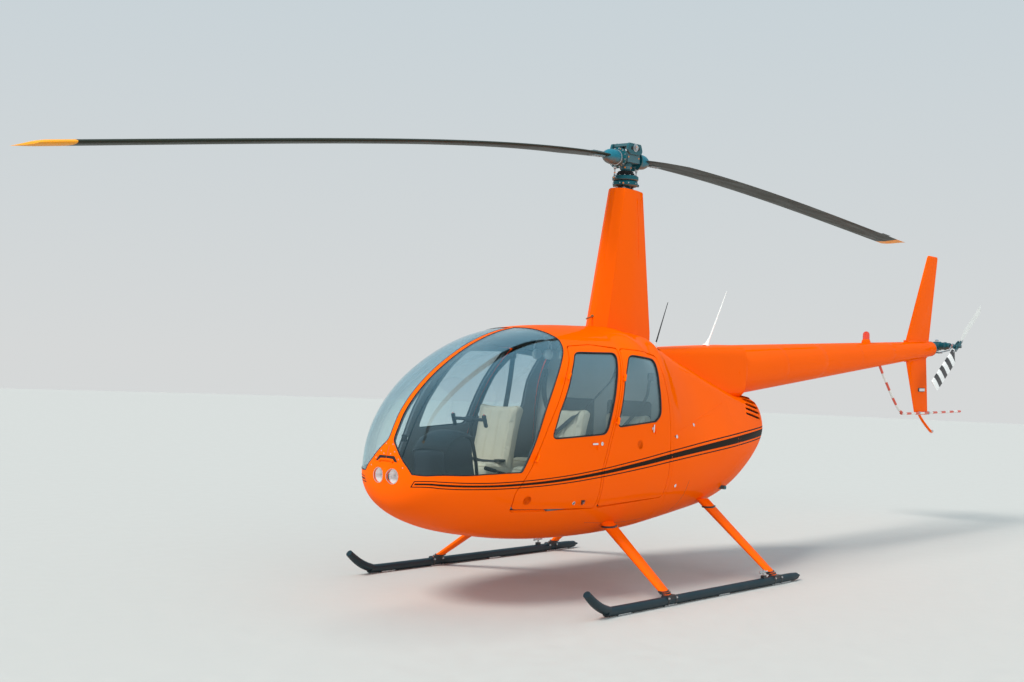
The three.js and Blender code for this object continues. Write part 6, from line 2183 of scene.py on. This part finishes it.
def rivets_and_seams():
    """Rivet rows, creases and fine seams of the cabin and cowls."""
    places = []
    for (x0, z0), (x1, z1) in RIVET_LINES:
        t = np.linspace(0, 1, 60)
        places += rivet_row(on_side(np.stack([x0 + (x1 - x0) * t, z0 + (z1 - z0) * t], 1)), 0.026)
    piece("skin_rivets", both([domes(places)]), PAINT)
    crease = [strip(on_side(smooth_line(CREASE, 0.02)), 0.0022, 0.0008, False)]
    crease.append(strip(on_side(smooth_line(LOW_CREASE, 0.02)), 0.0016, 0.0006, False))
    piece("cowl_crease", both(crease), PAINT)
    fine = [strip(on_side(smooth_line(line, 0.02)), 0.0011, 0.0004, False) for line in FINE_SEAMS]
    piece("skin_seams", both(fine), DARK_TRIM)


lamps()
vent()
gauge_on_bow()
hinges()
latches()
rivets_and_seams()


# Stage: a pale floor, soft lights, and the camera where the photograph was taken

FLOOR_COLOUR = (0.47, 0.455, 0.43)
FLOOR_RADIUS = 45
SKY_LOW, SKY_HIGH, SKY_STRENGTH = (0.86, 0.88, 0.88, 1), (0.42, 0.70, 0.88, 1), 0.78
# Columns: name, way toward the light, strength, angle across in degrees, colour
SUNS = (("key", (0.85, -0.15, 0.95), 3.9, 20, (1.0, 0.97, 0.92)),
        ("fill", (0.45, 1.0, 0.40), 1.1, 60, (1.0, 0.99, 0.97)),
        ("back", (-1.0, 0.4, 0.7), 0.35, 60, (0.96, 0.98, 1.0)))


def stage():
    """The round floor."""
    turns = np.linspace(0, 2 * math.pi, 96)[:-1]
    floor_points = np.array([(math.cos(a) * FLOOR_RADIUS, math.sin(a) * FLOOR_RADIUS, 0) for a in turns])
    mesh = bpy.data.meshes.new("floor")
    mesh.from_pydata(floor_points.tolist(), [], [tuple(range(len(floor_points)))])
    mesh.materials.append(surface("pale_floor", FLOOR_COLOUR, 0.75, grain=8.0, uneven=0.03))
    floor = added("floor", mesh)


def soft_sun(name, toward, strength, angle, colour):
    """Even light from one side of the sky. toward points from the aircraft to the light."""
    lamp = bpy.data.lights.new(name, "SUN")
    lamp.energy = strength
    lamp.angle = math.radians(angle)
    lamp.color = colour
    made = added(name, lamp)
    made.rotation_euler = (-Vector(toward)).to_track_quat("-Z", "Y").to_euler()
    made.visible_glossy = False


def lights():
    """The sky and the suns."""
    world = bpy.data.worlds.new("studio")
    world.use_nodes = True
    tree = world.node_tree
    place = tree.nodes.new("ShaderNodeTexCoord").outputs["Generated"]
    height = tree.nodes.new("ShaderNodeSeparateXYZ")
    tree.links.new(place, height.inputs[0])
    sky = tree.nodes.new("ShaderNodeValToRGB")
    stops = sky.color_ramp.elements
    stops[0].position, stops[0].color = 0.0, SKY_LOW
    stops[1].position, stops[1].color = 1.0, SKY_HIGH
    tree.links.new(height.outputs["Z"], sky.inputs[0])
    tree.links.new(sky.outputs[0], tree.nodes["Background"].inputs[0])
    tree.nodes["Background"].inputs[1].default_value = SKY_STRENGTH
    bpy.context.scene.world = world
    for sun in SUNS:
        soft_sun(*sun)


def camera():
    """The camera, turned by heading, tilt and roll."""
    lens = bpy.data.cameras.new("camera")
    lens.lens = CAMERA_LENS
    lens.sensor_width = CAMERA_SENSOR
    lens.clip_end = 300
    made = added("camera", lens)
    tilt = math.cos(CAMERA_PITCH)
    ahead = Vector((tilt * math.cos(CAMERA_YAW), tilt * math.sin(CAMERA_YAW), math.sin(CAMERA_PITCH)))
    right = ahead.cross(Vector((0, 0, 1))).normalized()
    up = right.cross(ahead)
    across = math.cos(CAMERA_ROLL) * right + math.sin(CAMERA_ROLL) * up
    up = across.cross(ahead)
    turn = Matrix((across, up, -ahead)).transposed().to_4x4()
    made.matrix_world = Matrix.Translation(CAMERA_AT + Vector((MAST_X, 0, 0))) @ turn
    bpy.context.scene.camera = made


stage()
lights()
camera()
bpy.context.scene.view_settings.view_transform = "Standard"
